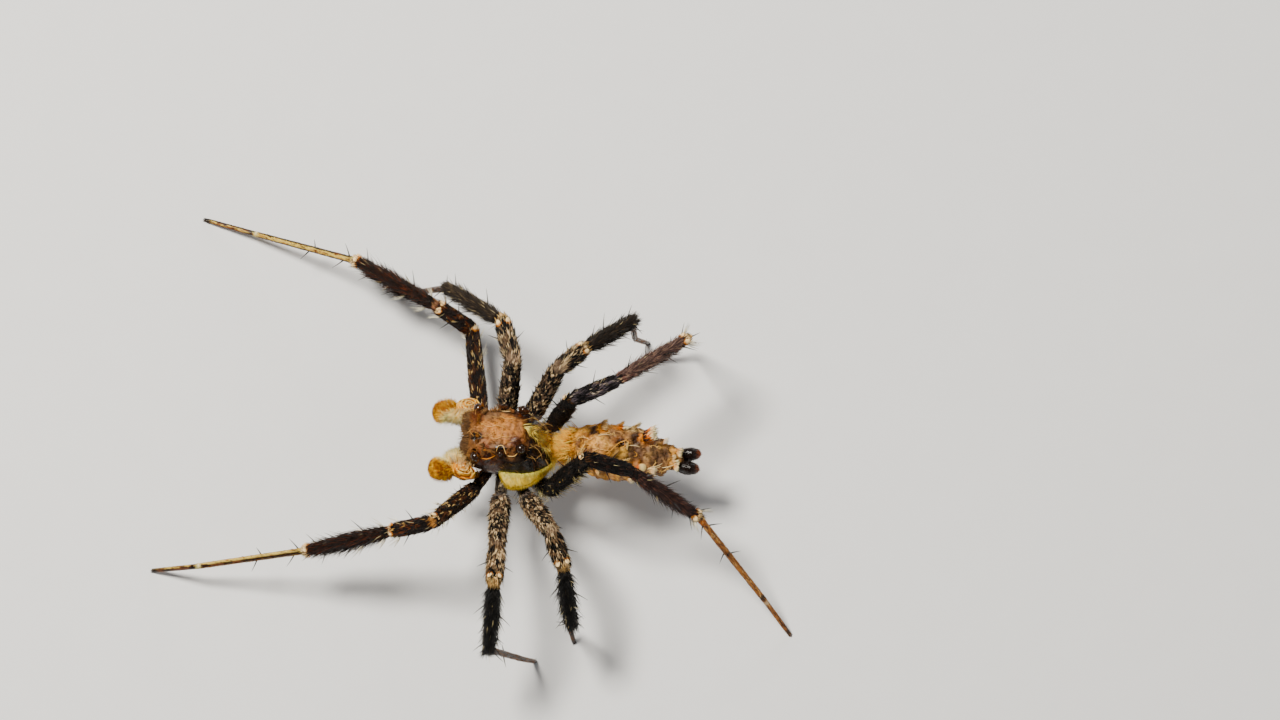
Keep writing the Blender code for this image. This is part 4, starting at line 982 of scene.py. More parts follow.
def crescent_sheet(side):
    rows = 64
    table = np.array(CRESCENT_TABLE)
    x = np.linspace(table[0, 0], table[-1, 0], rows)
    z, width = (blurred(np.interp(x, table[:, 0], table[:, c]), 2.5) for c in (1, 2))
    x = blurred(x, 1.0)
    out = unit(np.array((0.0, 0.94 * side, -0.34) if side < 0 else (0.0, 0.24, -0.97)))
    inset = 0.05 if side < 0 else 0.10
    edge = np.stack((x, side * (flank_width(x, z) - inset), z - (0.0 if side < 0 else 0.06)), axis=1)
    swept = np.array((0.22, 0.0, 0.0)) * smooth(x, 0.6, 1.2)[:, None] * 0.4
    middle = edge + (out + swept) * (width / 2)[:, None]
    flat = unit(np.cross(out, (1.0, 0.0, 0.0))) * side
    t = np.arange(CRESCENT_SIDES) / CRESCENT_SIDES * TAU
    bulge = CRESCENT_THICK * (0.4 + 0.6 * width / 0.5)
    grid = middle[:, None] + out * (np.cos(t)[None] * width[:, None] / 2)[..., None]
    grid = grid + flat * (np.sin(t)[None] * bulge[:, None])[..., None]
    name = "crescent_right" if side > 0 else "crescent_left"
    across = np.broadcast_to((np.cos(t)[None] * 0.5 + 0.5)[..., None], (rows, CRESCENT_SIDES, 1)).copy()
    sheet = Sheet(name, from_prosoma(grid), TILES[name], extra={"across": across})
    sheet.out = out @ PROSOMA_TURN.T
    return sheet


def crescent_colour(across, place):
    """Light greenish yellow with a bright upper rim and a darker lower part."""
    streak = noise(place, 0.05, 91)
    blotch = noise(place, 0.14, 92)
    colour = mix(CRESCENT, CRESCENT_EDGE, smooth(streak, 0.40, 0.72) * 0.8)
    colour = mix(colour, CRESCENT_LOW, smooth(blotch, 0.45, 0.70) * 0.55)
    colour = mix(colour, CRESCENT_LOW, smooth(across, 0.55, 0.95) * 0.55)
    return mix(colour, tone(255, 240, 150), 1 - smooth(across, 0.04, 0.22))


# meshes
def add_mesh(name, points, faces_flat, starts, totals, colours, uvs, gloss):
    """A mesh object from plain arrays: points in millimetres, loops, a colour for each point and a
    map place for each loop."""
    mesh = bpy.data.meshes.new(name)
    mesh.vertices.add(len(points))
    mesh.vertices.foreach_set("co", ((points + SHIFT) * MM).astype(np.float32).ravel())
    mesh.loops.add(len(faces_flat))
    mesh.loops.foreach_set("vertex_index", faces_flat.astype(np.int32))
    mesh.polygons.add(len(starts))
    mesh.polygons.foreach_set("loop_start", starts.astype(np.int32))
    mesh.polygons.foreach_set("loop_total", totals.astype(np.int32))
    mesh.polygons.foreach_set("use_smooth", np.ones(len(starts), bool))
    mesh.update(calc_edges=True)
    layer = mesh.uv_layers.new(name="OFBake")
    layer.data.foreach_set("uv", uvs.astype(np.float32).ravel())
    marks = mesh.color_attributes.new("markings", "FLOAT_COLOR", "POINT")
    rgba = np.ones((len(points), 4), np.float32)
    rgba[:, :3] = np.clip(colours, 0.0, 1.0)
    marks.data.foreach_set("color", rgba.ravel())
    if gloss is not None:
        shine = mesh.attributes.new("gloss", "FLOAT", "POINT")
        shine.data.foreach_set("value", gloss.astype(np.float32))
    obj = bpy.data.objects.new(name, mesh)
    bpy.context.scene.collection.objects.link(obj)
    return obj


def sheet_arrays(sheet, colours):
    """Points, quads and end faces of a sheet with its colours and map places."""
    n, m = sheet.grid.shape[:2]
    index = np.arange(n * m).reshape(n, m)
    i, j = np.meshgrid(np.arange(n - 1), np.arange(m), indexing="ij")
    k = (j + 1) % m
    quads = np.stack((index[i, j], index[i, k], index[i + 1, k], index[i + 1, j]), axis=-1).reshape(-1, 4)
    rows = np.stack((i, i, i + 1, i + 1), axis=-1).reshape(-1, 4)
    cols = np.stack((j, j + 1, j + 1, j), axis=-1).reshape(-1, 4)
    mid = n // 2
    a = sheet.grid[mid + 1, 0] - sheet.grid[mid, 0]
    b = sheet.grid[mid, 1] - sheet.grid[mid, 0]
    # each face is listed so that it looks outward
    step = 1 if np.dot(np.cross(b, a), sheet.normal[mid, 0]) > 0 else -1
    quads, rows, cols = (corners[:, ::step] for corners in (quads, rows, cols))
    flat = [quads.ravel()]
    uvs = [sheet.map_place(rows, cols).reshape(-1, 2)]
    for ring, row in ((index[0][::-step], 0.0), (index[-1][::step], n - 1.0)):
        flat.append(ring)
        uvs.append(sheet.map_place(np.full(m, row), ring % m))
    totals = np.concatenate((np.full(len(quads), 4), (m, m)))
    return (sheet.grid.reshape(-1, 3), np.concatenate(flat), totals,
            colours.reshape(-1, 3), np.concatenate(uvs))


def joined(pieces):
    """Arrays of several pieces as those of one."""
    points, flats, totals, colours, uvs = zip(*pieces)
    offsets = np.cumsum([0] + [len(p) for p in points[:-1]])
    flats = [flat + offset for flat, offset in zip(flats, offsets)]
    totals = np.concatenate(totals)
    starts = np.concatenate(((0,), np.cumsum(totals)[:-1]))
    return (np.concatenate(points), np.concatenate(flats), starts, totals,
            np.concatenate(colours), np.concatenate(uvs))


# Cross sections of a lock: share of its length, of its width and of its thickness. A lock whose first
# section isn't at its root starts in a point.
SPIKE = ((0.0, 1.0, 1.0),)
HAIR = ((0.0, 1.0, 1.0), (0.55, 0.8, 0.7))
SCALE = ((0.42, 1.0, 0.8),)
LEAF = ((0.32, 1.0, 0.9), (0.75, 0.85, 0.6))
LONG_HAIR = ((0.0, 1.0, 1.0), (0.35, 0.9, 0.85), (0.7, 0.6, 0.55))
PATCH = 0.003  # how wide the place of a lock or strand on the map is
LOCK_THICKNESS = 0.4  # of its width


def locks(roots, ways, faces, lengths, widths, root_colour, tip_colour, map_places,
          profile=HAIR, curl=0.2, bend=0.0):
    """Closed three-sided tapered locks, one for each root, as arrays. What is given once holds for all."""
    count = len(roots)
    if count == 0:
        return None
    vectors = (unit(ways), faces, root_colour, tip_colour)
    ways, faces, root_colour, tip_colour = (np.broadcast_to(v, (count, 3)) for v in vectors)
    numbers = (lengths, widths, curl, bend)
    lengths, widths, curl, bend = (np.broadcast_to(v, (count,))[:, None] for v in numbers)
    map_places = np.broadcast_to(map_places, (count, 2))
    across = unit(np.cross(ways, faces))
    face = unit(np.cross(across, ways))
    points, colours, places = [], [], []
    pointed = profile[0][0] > 0
    if pointed:
        points.append(roots)
        colours.append(root_colour)
        places.append(map_places + PATCH * np.array((-0.5, 0.0)))
    for share, spread, depth in profile:
        lean = ways * share - face * curl * share * share + across * bend * share * share
        middle = roots + lean * lengths
        half = across * widths * spread / 2
        ridge = face * widths * LOCK_THICKNESS * depth
        points += [middle - half, middle + half, middle + ridge]
        colour = root_colour * (1 - share) + tip_colour * share
        colours += [colour] * 3
        for offset in (-0.5, 0.5, 0.0):
            places.append(map_places + PATCH * np.array((share - 0.5, offset)))
    points.append(roots + (ways - face * curl + across * bend) * lengths)
    colours.append(tip_colour)
    places.append(map_places + PATCH * np.array((0.5, 0.0)))
    each = len(points)
    points = np.stack(points, axis=1)
    colours = np.stack(colours, axis=1)
    places = np.stack(places, axis=1)
    first = 1 if pointed else 0
    last = first + (len(profile) - 1) * 3
    turns = ((1, 0), (0, 2), (2, 1))
    quads = [(k + a, k + b, k + 3 + b, k + 3 + a) for k in range(first, last, 3) for a, b in turns]
    triangles = [(0, 1 + b, 1 + a) for a, b in turns] if pointed else [(0, 1, 2)]
    triangles += [(last + a, last + b, each - 1) for a, b in turns]
    pattern = np.concatenate([np.array(quads, int).ravel(), np.array(triangles).ravel()])
    totals = np.concatenate((np.full(len(quads), 4), np.full(len(triangles), 3)))
    flat = (pattern[None] + (np.arange(count) * each)[:, None]).ravel()
    uv = places[:, pattern].reshape(-1, 2)
    return (points.reshape(-1, 3), flat, np.tile(totals, count), colours.reshape(-1, 3), uv)


def strand(points, radii, colours, map_place, sides=5):
    """A thin round strand through the points, closed at both ends."""
    points = np.array(points, float)
    count = len(points)
    radii = np.broadcast_to(radii, (count,))
    colours = np.broadcast_to(colours, (count, 3))
    way = unit(np.gradient(points, axis=0))
    up = np.tile(np.array((0.02, 0.03, 1.0)), (count, 1))
    up = unit(up - way * dot(up, way))
    grid = ring_points(points, up, np.cross(way, up), radii, sides)
    index = np.arange(count * sides).reshape(count, sides)
    near, far = index[:-1], index[1:]
    quads = np.stack((near, np.roll(near, -1, axis=1), np.roll(far, -1, axis=1), far), axis=-1)
    flat = np.concatenate((quads.ravel(), index[0][::-1], index[-1]))
    totals = np.array([4] * near.size + [sides, sides])
    share = np.repeat(np.linspace(-0.5, 0.5, count), sides)
    place = map_place + np.stack((share, np.tile(np.arange(sides) / sides - 0.5, count)), axis=1) * PATCH
    return grid.reshape(-1, 3), flat, totals, np.repeat(colours, sides, axis=0), place[flat]


WARMTH = 0.05


def jitter(rng, colour, amount=0.22):
    """Each lock a little lighter or darker, and a little warmer or cooler."""
    count = len(colour)
    value = 1 + (rng.random((count, 1)) - 0.5) * 2 * amount
    shade = 1 + (rng.random((count, 1)) - 0.5) * 2 * WARMTH * np.array((1.0, 0.0, -1.0))
    return np.clip(colour * value * shade, 0.0, 1.0)


def lie(rng, sheet_way, normal, lean, turn):
    """Ways of locks that lean from the surface by lean degrees and swing by turn degrees about the normal."""
    count = len(normal)
    way = unit(sheet_way - normal * dot(sheet_way, normal))
    swing = np.radians(rng.normal(0, 1, count) * turn)
    way = turned(way, normal, swing)
    rise = np.radians(np.clip(lean * (1 + rng.normal(0, 0.25, count)), 2, 85))[:, None]
    return way * np.cos(rise) + normal * np.sin(rise)


def place_piece(name, pieces, material, nodes=(), shiny=False):
    """One object from its pieces, on the only body. Hair lies over the skin and replaces no nodes."""
    points, flat, starts, totals, colours, uvs = joined([p for p in pieces if p is not None])
    points[:, 2] = np.maximum(points[:, 2], FLOOR_GAP)
    # dark areas of the skin are glossy
    gloss = 1 - smooth(colours @ LUMINANCE, 0.01, 0.06) if shiny else None
    obj = add_mesh(name, points, flat, starts, totals, colours, uvs, gloss)
    obj.data.materials.append(material)
    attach(obj, "root")
    if nodes:
        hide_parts(*nodes)
    print(name, int(np.sum(totals - 2)))


# materials
def nodes_of(name):
    material = bpy.data.materials.new(name)
    material.use_nodes = True
    tree = material.node_tree
    for node in list(tree.nodes):
        if node.type != "OUTPUT_MATERIAL":
            tree.nodes.remove(node)
    output = tree.nodes["Material Output"]
    shader = tree.nodes.new("ShaderNodeBsdfPrincipled")
    tree.links.new(shader.outputs["BSDF"], output.inputs["Surface"])
    return material, tree, shader


def noise_node(tree, scale, detail, rough=0.55):
    where = tree.nodes.new("ShaderNodeTexCoord")
    node = tree.nodes.new("ShaderNodeTexNoise")
    node.inputs["Scale"].default_value = scale
    node.inputs["Detail"].default_value = detail
    node.inputs["Roughness"].default_value = rough
    tree.links.new(where.outputs["Object"], node.inputs["Vector"])
    return node


def two_tones(tree, shader, scale, detail, low, high):
    """Noise from one plain colour to another on the shader."""
    grain = noise_node(tree, scale, detail)
    colour = tree.nodes.new("ShaderNodeMix")
    colour.data_type = "RGBA"
    colour.inputs["A"].default_value = low
    colour.inputs["B"].default_value = high
    tree.links.new(grain.outputs["Fac"], colour.inputs["Factor"])
    tree.links.new(colour.outputs["Result"], shader.inputs["Base Color"])


def ramp(tree, source, low, high, start, end):
    node = tree.nodes.new("ShaderNodeMapRange")
    node.inputs["From Min"].default_value = low
    node.inputs["From Max"].default_value = high
    node.inputs["To Min"].default_value = start
    node.inputs["To Max"].default_value = end
    tree.links.new(source, node.inputs["Value"])
    return node.outputs["Result"]


def marked_material(name, rough_low, rough_high, specular, bump_height, bump_scale, variation,
                    glossy=None):
    """The markings of the mesh with fine variation, uneven shine and fine relief."""
    material, tree, shader = nodes_of(name)
    marks = tree.nodes.new("ShaderNodeAttribute")
    marks.attribute_name = "markings"
    grain = noise_node(tree, 14000, 3.0)
    vary = tree.nodes.new("ShaderNodeHueSaturation")
    tree.links.new(marks.outputs["Color"], vary.inputs["Color"])
    value = ramp(tree, grain.outputs["Fac"], 0.25, 0.75, 1 - variation, 1 + variation)
    tree.links.new(value, vary.inputs["Value"])
    tree.links.new(vary.outputs["Color"], shader.inputs["Base Color"])
    patches = noise_node(tree, 5000, 2.0)
    rough = ramp(tree, patches.outputs["Fac"], 0.3, 0.7, rough_low, rough_high)
    if glossy is not None:
        shine = tree.nodes.new("ShaderNodeAttribute")
        shine.attribute_name = "gloss"
        less = tree.nodes.new("ShaderNodeMath")
        less.operation = "MULTIPLY_ADD"
        less.use_clamp = True
        less.inputs[1].default_value = -glossy
        tree.links.new(shine.outputs["Fac"], less.inputs[0])
        tree.links.new(rough, less.inputs[2])
        rough = less.outputs["Value"]
    tree.links.new(rough, shader.inputs["Roughness"])
    shader.inputs["Specular IOR Level"].default_value = specular
    relief = noise_node(tree, bump_scale, 4.0, 0.6)
    bump = tree.nodes.new("ShaderNodeBump")
    bump.inputs["Strength"].default_value = 0.8
    bump.inputs["Distance"].default_value = bump_height
    tree.links.new(relief.outputs["Fac"], bump.inputs["Height"])
    tree.links.new(bump.outputs["Normal"], shader.inputs["Normal"])
    return material


SKIN = marked_material("skin", 0.50, 0.70, 0.4, 0.000012, 22000, 0.25, glossy=0.34)
FUR = marked_material("fur", 0.50, 0.70, 0.2, 0.000002, 60000, 0.18)
FRINGE = marked_material("fringe", 0.42, 0.62, 0.28, 0.000002, 60000, 0.18)
SPINE = marked_material("spine", 0.25, 0.42, 0.4, 0.000001, 60000, 0.15)


def eye_material():
    material, tree, shader = nodes_of("eye")
    two_tones(tree, shader, 6000, 2.0, (0.006, 0.004, 0.003, 1), (0.035, 0.014, 0.006, 1))
    shader.inputs["Roughness"].default_value = 0.16
    shader.inputs["Specular IOR Level"].default_value = 0.5
    shader.inputs["Coat Weight"].default_value = 0.15
    shader.inputs["Coat Roughness"].default_value = 0.06
    return material


# build: skin
carapace = carapace_sheet()
abdomen = abdomen_sheet()
sternum = sternum_sheet()
pedicel = pedicel_sheet()
jaws = [jaw_sheet(1), jaw_sheet(-1)]
palps = [palp_sheet(1), palp_sheet(-1)]
spinnerets = spinneret_sheets()
legs = [leg_sheet(leg) for leg in POSES]
crescents = [crescent_sheet(1), crescent_sheet(-1)]


def leg_fields(sheet, rows=None, cols=None):
    """Segment, share along it, distance from the body and angle round, for the grid or for places on it."""
    if rows is None:
        return [sheet.extra[name][..., 0] for name in ("part", "share", "run", "angle")]
    run = sheet.read(sheet.extra["run"], rows, cols)[..., 0]
    part = np.clip(np.searchsorted(sheet.marks, run, side="right") - 1, 0, 5)
    share = (run - sheet.marks[part]) / sheet.lengths[part]
    return [part, share, run, cols / sheet.grid.shape[1] * TAU]


def along_spinneret(x):
    """0 where the spinnerets start and 1 at the end of the upper ones."""
    return (x - 3.15) / 0.45


def build_skin():
    sheets = [
        (carapace, carapace_colour(carapace.local) * 0.8),
        (abdomen, abdomen_colour(abdomen.local, abdomen.extra["fold"][..., 0]) * 0.8),
        (sternum, mix(tone(60, 42, 32), tone(30, 20, 16), noise(sternum.grid, 0.15, 61))),
        (pedicel, mix(tone(70, 46, 30), tone(36, 24, 18), noise(pedicel.grid, 0.1, 62))),
    ]
    sheets += [(jaw, mix(tone(74, 36, 22), tone(26, 14, 12), noise(jaw.grid, 0.18, 63))) for jaw in jaws]
    sheets += [(palp, palp_colour(palp, palp.grid, palp.extra["tip"][..., 0]) * 0.5) for palp in palps]
    for part in spinnerets:
        end = smooth(along_spinneret(part.grid[..., 0]), 0.80, 1.05)
        sheets.append((part, mix(tone(18, 11, 8), tone(110, 56, 22), end * 0.8)))
    sheets += [(leg, leg_colour(leg, *leg_fields(leg)) * 0.7) for leg in legs]
    sheets += [(pad, crescent_colour(pad.extra["across"][..., 0], pad.grid) * 0.7) for pad in crescents]
    nodes = ["carapace", "abdomen", "sternum", "pedicel", "chelicera_left", "chelicera_right", "spinnerets"]
    nodes += ["palp_%s_%s" % (a, b) for a in ("left", "right") for b in ("stalk", "tip")]
    nodes += ["%s_%s" % (leg, word) for leg in POSES for word in SEGMENT_WORDS]
    place_piece("skin", [sheet_arrays(*pair) for pair in sheets], SKIN, nodes, shiny=True)


build_skin()


# build: eyes
EYE_ROWS = 20
EYE_COLS = 36


def ball_arrays(centre, radius, colour, tile):
    lat = np.linspace(0.03, math.pi - 0.03, EYE_ROWS)
    lon = np.arange(EYE_COLS) / EYE_COLS * TAU
    x = np.cos(lat)[:, None] * np.ones(EYE_COLS)[None]
    y = np.sin(lat)[:, None] * np.cos(lon)[None]
    z = np.sin(lat)[:, None] * np.sin(lon)[None]
    grid = np.stack((-x, y, z), axis=-1) * radius + centre
    return sheet_arrays(Sheet("ball", grid, tile), np.broadcast_to(colour, grid.shape))


def build_eyes():
    pieces, nodes = [], []
    left = 0.0
    for word, (at, radius, look) in EYES.items():
        for side, name in ((1, "right"), (-1, "left")):
            tile = (left + 0.01, 0.1, left + 0.11, 0.2)
            pieces.append(ball_arrays(from_prosoma(mirrored(at, side)), radius, tone(20, 12, 10), tile))
            nodes.append("eye_%s_%s" % (word, name))
            left += 0.12
    place_piece("eyes", pieces, eye_material(), nodes)


build_eyes()


# build: coat of the body
class Bed:
    """Places on a sheet where hair grows, with its roots a little under the surface."""

    def __init__(self, sheet, rows, cols, sunk=0.012):
        self.sheet = sheet
        self.rows = rows
        self.cols = cols
        self.count = len(rows)
        self.normal = unit(sheet.read(sheet.normal, rows, cols))
        self.roots = sheet.read(sheet.grid, rows, cols) - self.normal * sunk
        self.local = sheet.read(sheet.local, rows, cols)
        self.along = unit(sheet.read(sheet.along, rows, cols))
        self.places = sheet.map_place(rows, cols)

    def kept(self, keep):
        return Bed(self.sheet, self.rows[keep], self.cols[keep])

    def table(self, word):
        return self.sheet.read(self.sheet.extra[word], self.rows, self.cols)[:, 0]

    def everywhere(self, way):
        return np.broadcast_to(np.array(way), self.roots.shape)

    def hair(self, way, length, width, root, tip, **shape):
        return locks(self.roots, way, self.normal, length, width, root, tip, self.places, **shape)


def sown(rng, sheet, per_mm2, weight=None, sunk=0.012):
    rows, cols = sheet.scatter(rng, per_mm2, weight)
    return Bed(sheet, rows, cols, sunk)


def clear_of_eyes(local):
    keep = np.ones(len(local), bool)
    for at, radius, look in EYES.values():
        for side in (-1, 1):
            keep &= np.linalg.norm(local - mirrored(at, side), axis=1) > radius + 0.02
    return keep


def bare_area(p):
    """The thorax and the sides, where the carapace has only a few bristles."""
    return (p[..., 0] > 0.40) | (p[..., 2] < 0.30)


def carapace_coat():
    rng = rng_for("carapace coat")

    def weight(sheet):
        return np.where(bare_area(sheet.local), 0.06, 1.0) * (stripe_weight(sheet.local) < 0.5)

    bed = sown(rng, carapace, 3600, weight)
    bed = bed.kept(clear_of_eyes(bed.local))
    bare = bare_area(bed.local)
    flow = (noise(bed.local, 0.42, 27) - 0.5) * 3.4
    back = turned(bed.everywhere((1.0, 0.0, 0.0)), bed.normal, flow)
    colour = carapace_colour(bed.local)
    way = lie(rng, back, bed.normal, np.where(bare, 22, 10), np.where(bare, 26, 14))
    length = np.where(bare, 0.12, 0.11) * (0.6 + 0.7 * rng.random(bed.count))
    root = jitter(rng, colour * 0.55, 0.2)
    tip = jitter(rng, np.clip(colour * 1.15, 0, 1), 0.26)
    pale = bare & (rng.random(bed.count) < 0.12)
    tip[pale] = tone(176, 140, 96)
    root[pale] = tone(110, 80, 54)
    width = np.where(pale, 0.012, np.where(bare, 0.014, 0.020))
    return bed.hair(way, np.where(pale, 0.22, length), width, root, tip, profile=SCALE, curl=0.12,
                    bend=rng.normal(0, 0.12, bed.count))


def brow_hair():
    """Hair from the plate's front edge over the front eyes."""
    rng = rng_for("brow")
    count = 420
    across = rng.uniform(-0.62, 0.62, count)
    ahead = rng.uniform(-1.13, -1.00, count)
    pieces = []
    for x, y in zip(ahead, across):
        place, normal, spot = top_place(x, y)
        way = unit(np.array((-1.0, 0.25 * y, 0.10)) + rng.normal(0, 0.16, 3)) @ PROSOMA_TURN.T
        tip = blend(tone(72, 50, 34), tone(146, 112, 80), rng.random())
        root = place - normal * 0.02
        pieces.append(locks(root[None], way, normal, rng.uniform(0.14, 0.30), 0.018, tip * 0.5, tip, spot,
                            profile=LONG_HAIR, curl=0.18, bend=rng.normal(0, 0.2)))
    return pieces


def stripe_hair():
    """Dense yellow hair from the groove behind the head down over the waist."""
    rng = rng_for("stripe")
    bed = sown(rng, carapace, 5200, lambda sheet: stripe_weight(sheet.local))
    way = lie(rng, bed.everywhere((1.0, -0.22, 0.0)), bed.normal, 26, 26)
    shade = np.clip(noise(bed.local, 0.06, 71) + rng.normal(0, 0.2, bed.count), 0, 1)
    colour = mix(tone(244, 194, 108), tone(255, 232, 160), shade)
    dark = (bed.local[:, 0] < 0.62) & (rng.random(bed.count) < 0.08)
    colour = np.where(dark[:, None], tone(40, 24, 14), colour)
    length = 0.16 + 0.22 * rng.random(bed.count)
    return bed.hair(way, length, 0.026, jitter(rng, colour * 0.85), jitter(rng, colour * 1.08, 0.2),
                    profile=SCALE, curl=0.2, bend=rng.normal(0, 0.12, bed.count))


def crescent_hair():
    pieces = []
    for sheet in crescents:
        rng = rng_for(sheet.name)
        bed = sown(rng, sheet, 6200)
        back = np.array((0.35, 0.0, 0.0)) * (bed.rows / len(sheet.grid))[:, None] ** 2
        way = lie(rng, bed.everywhere(sheet.out) + back, bed.normal, 8, 10)
        colour = crescent_colour(bed.table("across"), bed.roots)
        length = 0.10 * rng.uniform(0.6, 1.5, bed.count)
        pieces.append(bed.hair(way, length, 0.018, jitter(rng, colour * 0.72, 0.15),
                               jitter(rng, colour * 1.05, 0.18), profile=SPIKE, curl=0.10))
    return pieces


def nearest(sheet, cost):
    """Place, normal and map place of the point of a sheet where the cost is least."""
    i, j = np.unravel_index(np.argmin(cost), cost.shape)
    return sheet.grid[i, j], sheet.normal[i, j], sheet.map_place(float(i), float(j))


def top_place(x, y):
    local = carapace.local
    cost = (local[..., 0] - x) ** 2 + (local[..., 1] - y) ** 2
    return nearest(carapace, cost + np.where(carapace.normal[..., 2] > 0.1, 0, 10))


def bow(count):
    """Thin at both ends and 1 in the middle."""
    return np.sin(np.linspace(0.1, math.pi - 0.1, count))


def laid_line(line, sigma, place_of, lift, again):
    """A line laid over a surface with rounded corners, and the normal and map place at its end."""
    line = np.array(line)
    steps = np.linspace(0, len(line) - 1, 8 * len(line))
    points = []
    for a, b in blurred(table_at(steps, np.arange(len(line)), line), sigma):
        place, normal, spot = place_of(a, b)
        points.append(place + normal * lift)
    return blurred(np.array(points), again), normal, spot


HAIR_STEPS = 7


def curved_hair(rng, place, normal, way, lengths, swings, lift):
    """Points of a hair that lies on the surface and swings to one side."""
    side = unit(np.cross(normal, way))
    length = rng.uniform(*lengths)
    swing = rng.uniform(*swings)
    share = np.linspace(0, 1, HAIR_STEPS)[:, None]
    return place + way * share * length + side * swing * share ** 2 * length + normal * lift(share, length)


def head_rims():
    """Pale wavy lines of hair on the head, and thin curved hairs on the head and the thorax."""
    rng = rng_for("rims")
    pieces = []
    for line, radius, colour in HEAD_LINES:
        points, normal, spot = laid_line(line, 2.0, top_place, 0.028, 1.5)
        pieces.append(strand(points, radius * (0.4 + 0.6 * bow(len(points))), colour, spot))
    for k in range(40):
        place, normal, spot = top_place(rng.uniform(-1.0, 0.34), rng.uniform(-0.55, 0.60))
        heading = rng.uniform(-1.0, 1.0) + (math.pi / 2 if rng.random() < 0.4 else 0.0)
        way = unit(np.array((math.cos(heading), math.sin(heading), 0.0)))
        way = unit(way - normal * np.dot(way, normal))
        points = curved_hair(rng, place, normal, way, (0.16, 0.36), (-0.5, 0.5),
                             lambda share, length: 0.022 + 0.03 * np.sin(share * math.pi))
        colour = tone(214, 170, 116) if rng.random() < 0.5 else tone(100, 64, 40)
        pieces.append(strand(points, np.linspace(0.005, 0.002, HAIR_STEPS), colour, spot, sides=4))
    for k in range(60):
        place, normal, spot = top_place(rng.uniform(0.42, 1.02), rng.uniform(-0.72, 0.66))
        heading = rng.uniform(-1.2, 1.2)
        way = unit(np.array((math.cos(heading), math.sin(heading), 0.0)) - normal * 0.2)
        points = curved_hair(rng, place, normal, way, (0.22, 0.50), (-0.6, 0.6),
                             lambda share, length: 0.02 + 0.22 * length * np.sin(share * math.pi * 0.9))
        colour = tone(190, 156, 110) if rng.random() < 0.3 else tone(70, 44, 26)
        pieces.append(strand(points, np.linspace(0.006, 0.003, HAIR_STEPS), colour, spot, sides=4))
    return pieces


# Lines on the head as x and y in the prosoma's frame, with radius and colour
HEAD_LINES = (
    (((-0.31, -0.64), (-0.32, -0.54), (-0.27, -0.46), (-0.16, -0.45), (-0.11, -0.54), (-0.06, -0.62),
      (0.03, -0.66), (0.14, -0.65), (0.23, -0.59), (0.28, -0.52), (0.38, -0.46)), 0.012, tone(236, 196, 140)),
    (((-0.30, 0.60), (-0.20, 0.56), (-0.06, 0.57), (0.04, 0.62)), 0.012, tone(240, 206, 156)),
    (((-0.95, -0.57), (-0.85, -0.64), (-0.74, -0.68), (-0.59, -0.70), (-0.46, -0.69), (-0.34, -0.64)),
     0.014, tone(206, 140, 84)),
    (((-0.75, -0.55), (-0.60, -0.54), (-0.49, -0.57), (-0.39, -0.64)), 0.014, tone(214, 130, 60)),
    (((-1.14, -0.26), (-1.12, -0.12), (-1.05, -0.04), (-0.96, 0.00)), 0.012, tone(190, 146, 104)),
    (((-0.67, 0.66), (-0.52, 0.70), (-0.34, 0.69), (-0.16, 0.72), (-0.01, 0.72)), 0.010, tone(206, 160, 110)),
    (((-0.80, 0.17), (-0.59, 0.05), (-0.36, 0.10), (-0.12, 0.01)), 0.008, tone(226, 182, 128)),
    (((-0.30, 0.39), (-0.08, 0.25), (0.12, 0.32)), 0.008, tone(226, 182, 128)),
    (((-0.55, -0.22), (-0.36, -0.30), (-0.18, -0.22), (0.00, -0.28)), 0.008, tone(220, 174, 122)),
    (((0.44, 0.70), (0.64, 0.64), (0.81, 0.60), (0.96, 0.48)), 0.012, tone(226, 206, 150)),
)


def tuft(centre, normal, way, spread_way, count, rng, length, spread, width, colours, place, fan,
         profile=LEAF, curl=0.1):
    """Locks from one small root that fan out. Colours go from the root to the tip."""
    side = unit(spread_way)
    offset = rng.uniform(-1, 1, count)
    roots = centre + side * (offset * spread)[:, None] + rng.normal(0, 0.15 * spread, (count, 3))
    ways = unit(way + side * (offset * fan)[:, None] + rng.normal(0, 0.10, (count, 3)))
    lengths = length * rng.uniform(0.75, 1.1, count)
    root, tip = (jitter(rng, np.broadcast_to(colour, (count, 3))) for colour in colours)
    return locks(roots, ways, normal, lengths, width, root, tip, place, profile=profile, curl=curl)


def head_tufts():
    rng = rng_for("head tufts")
    pieces = []
    for at, lean, length, dark, pale in HEAD_TUFTS:
        for side in (-1, 1):
            far = np.linalg.norm(carapace.local - mirrored(at, side), axis=-1)
            place, normal, spot = nearest(carapace, far)
            way = unit(from_prosoma(mirrored(lean, side)) - PROSOMA_AT)
            across = np.cross(way, normal)
            pieces.append(tuft(place - normal * 0.02, normal, way, across, 50, rng, length, 0.12, 0.022,
                               (dark, pale), spot, fan=0.45, profile=SCALE))
    return pieces


# Tufts of the head: place, lean, length, colours from root to tip
HEAD_TUFTS = (
    ((-0.62, 0.58, 0.62), (-0.75, 0.55, 0.35), 0.18, tone(54, 34, 22), tone(142, 108, 76)),
    ((-0.44, 0.64, 0.66), (-0.10, 0.85, 0.45), 0.18, tone(54, 34, 22), tone(150, 112, 76)),
    ((-0.78, 0.26, 0.62), (-0.80, 0.10, 0.50), 0.13, tone(40, 22, 12), tone(140, 92, 54)),
    ((0.02, 0.62, 0.72), (-0.30, 0.60, 0.60), 0.15, tone(50, 30, 18), tone(134, 92, 60)),
    ((-0.98, 0.60, 0.16), (-0.75, 0.60, 0.10), 0.22, tone(110, 74, 46), tone(214, 184, 140)),
)
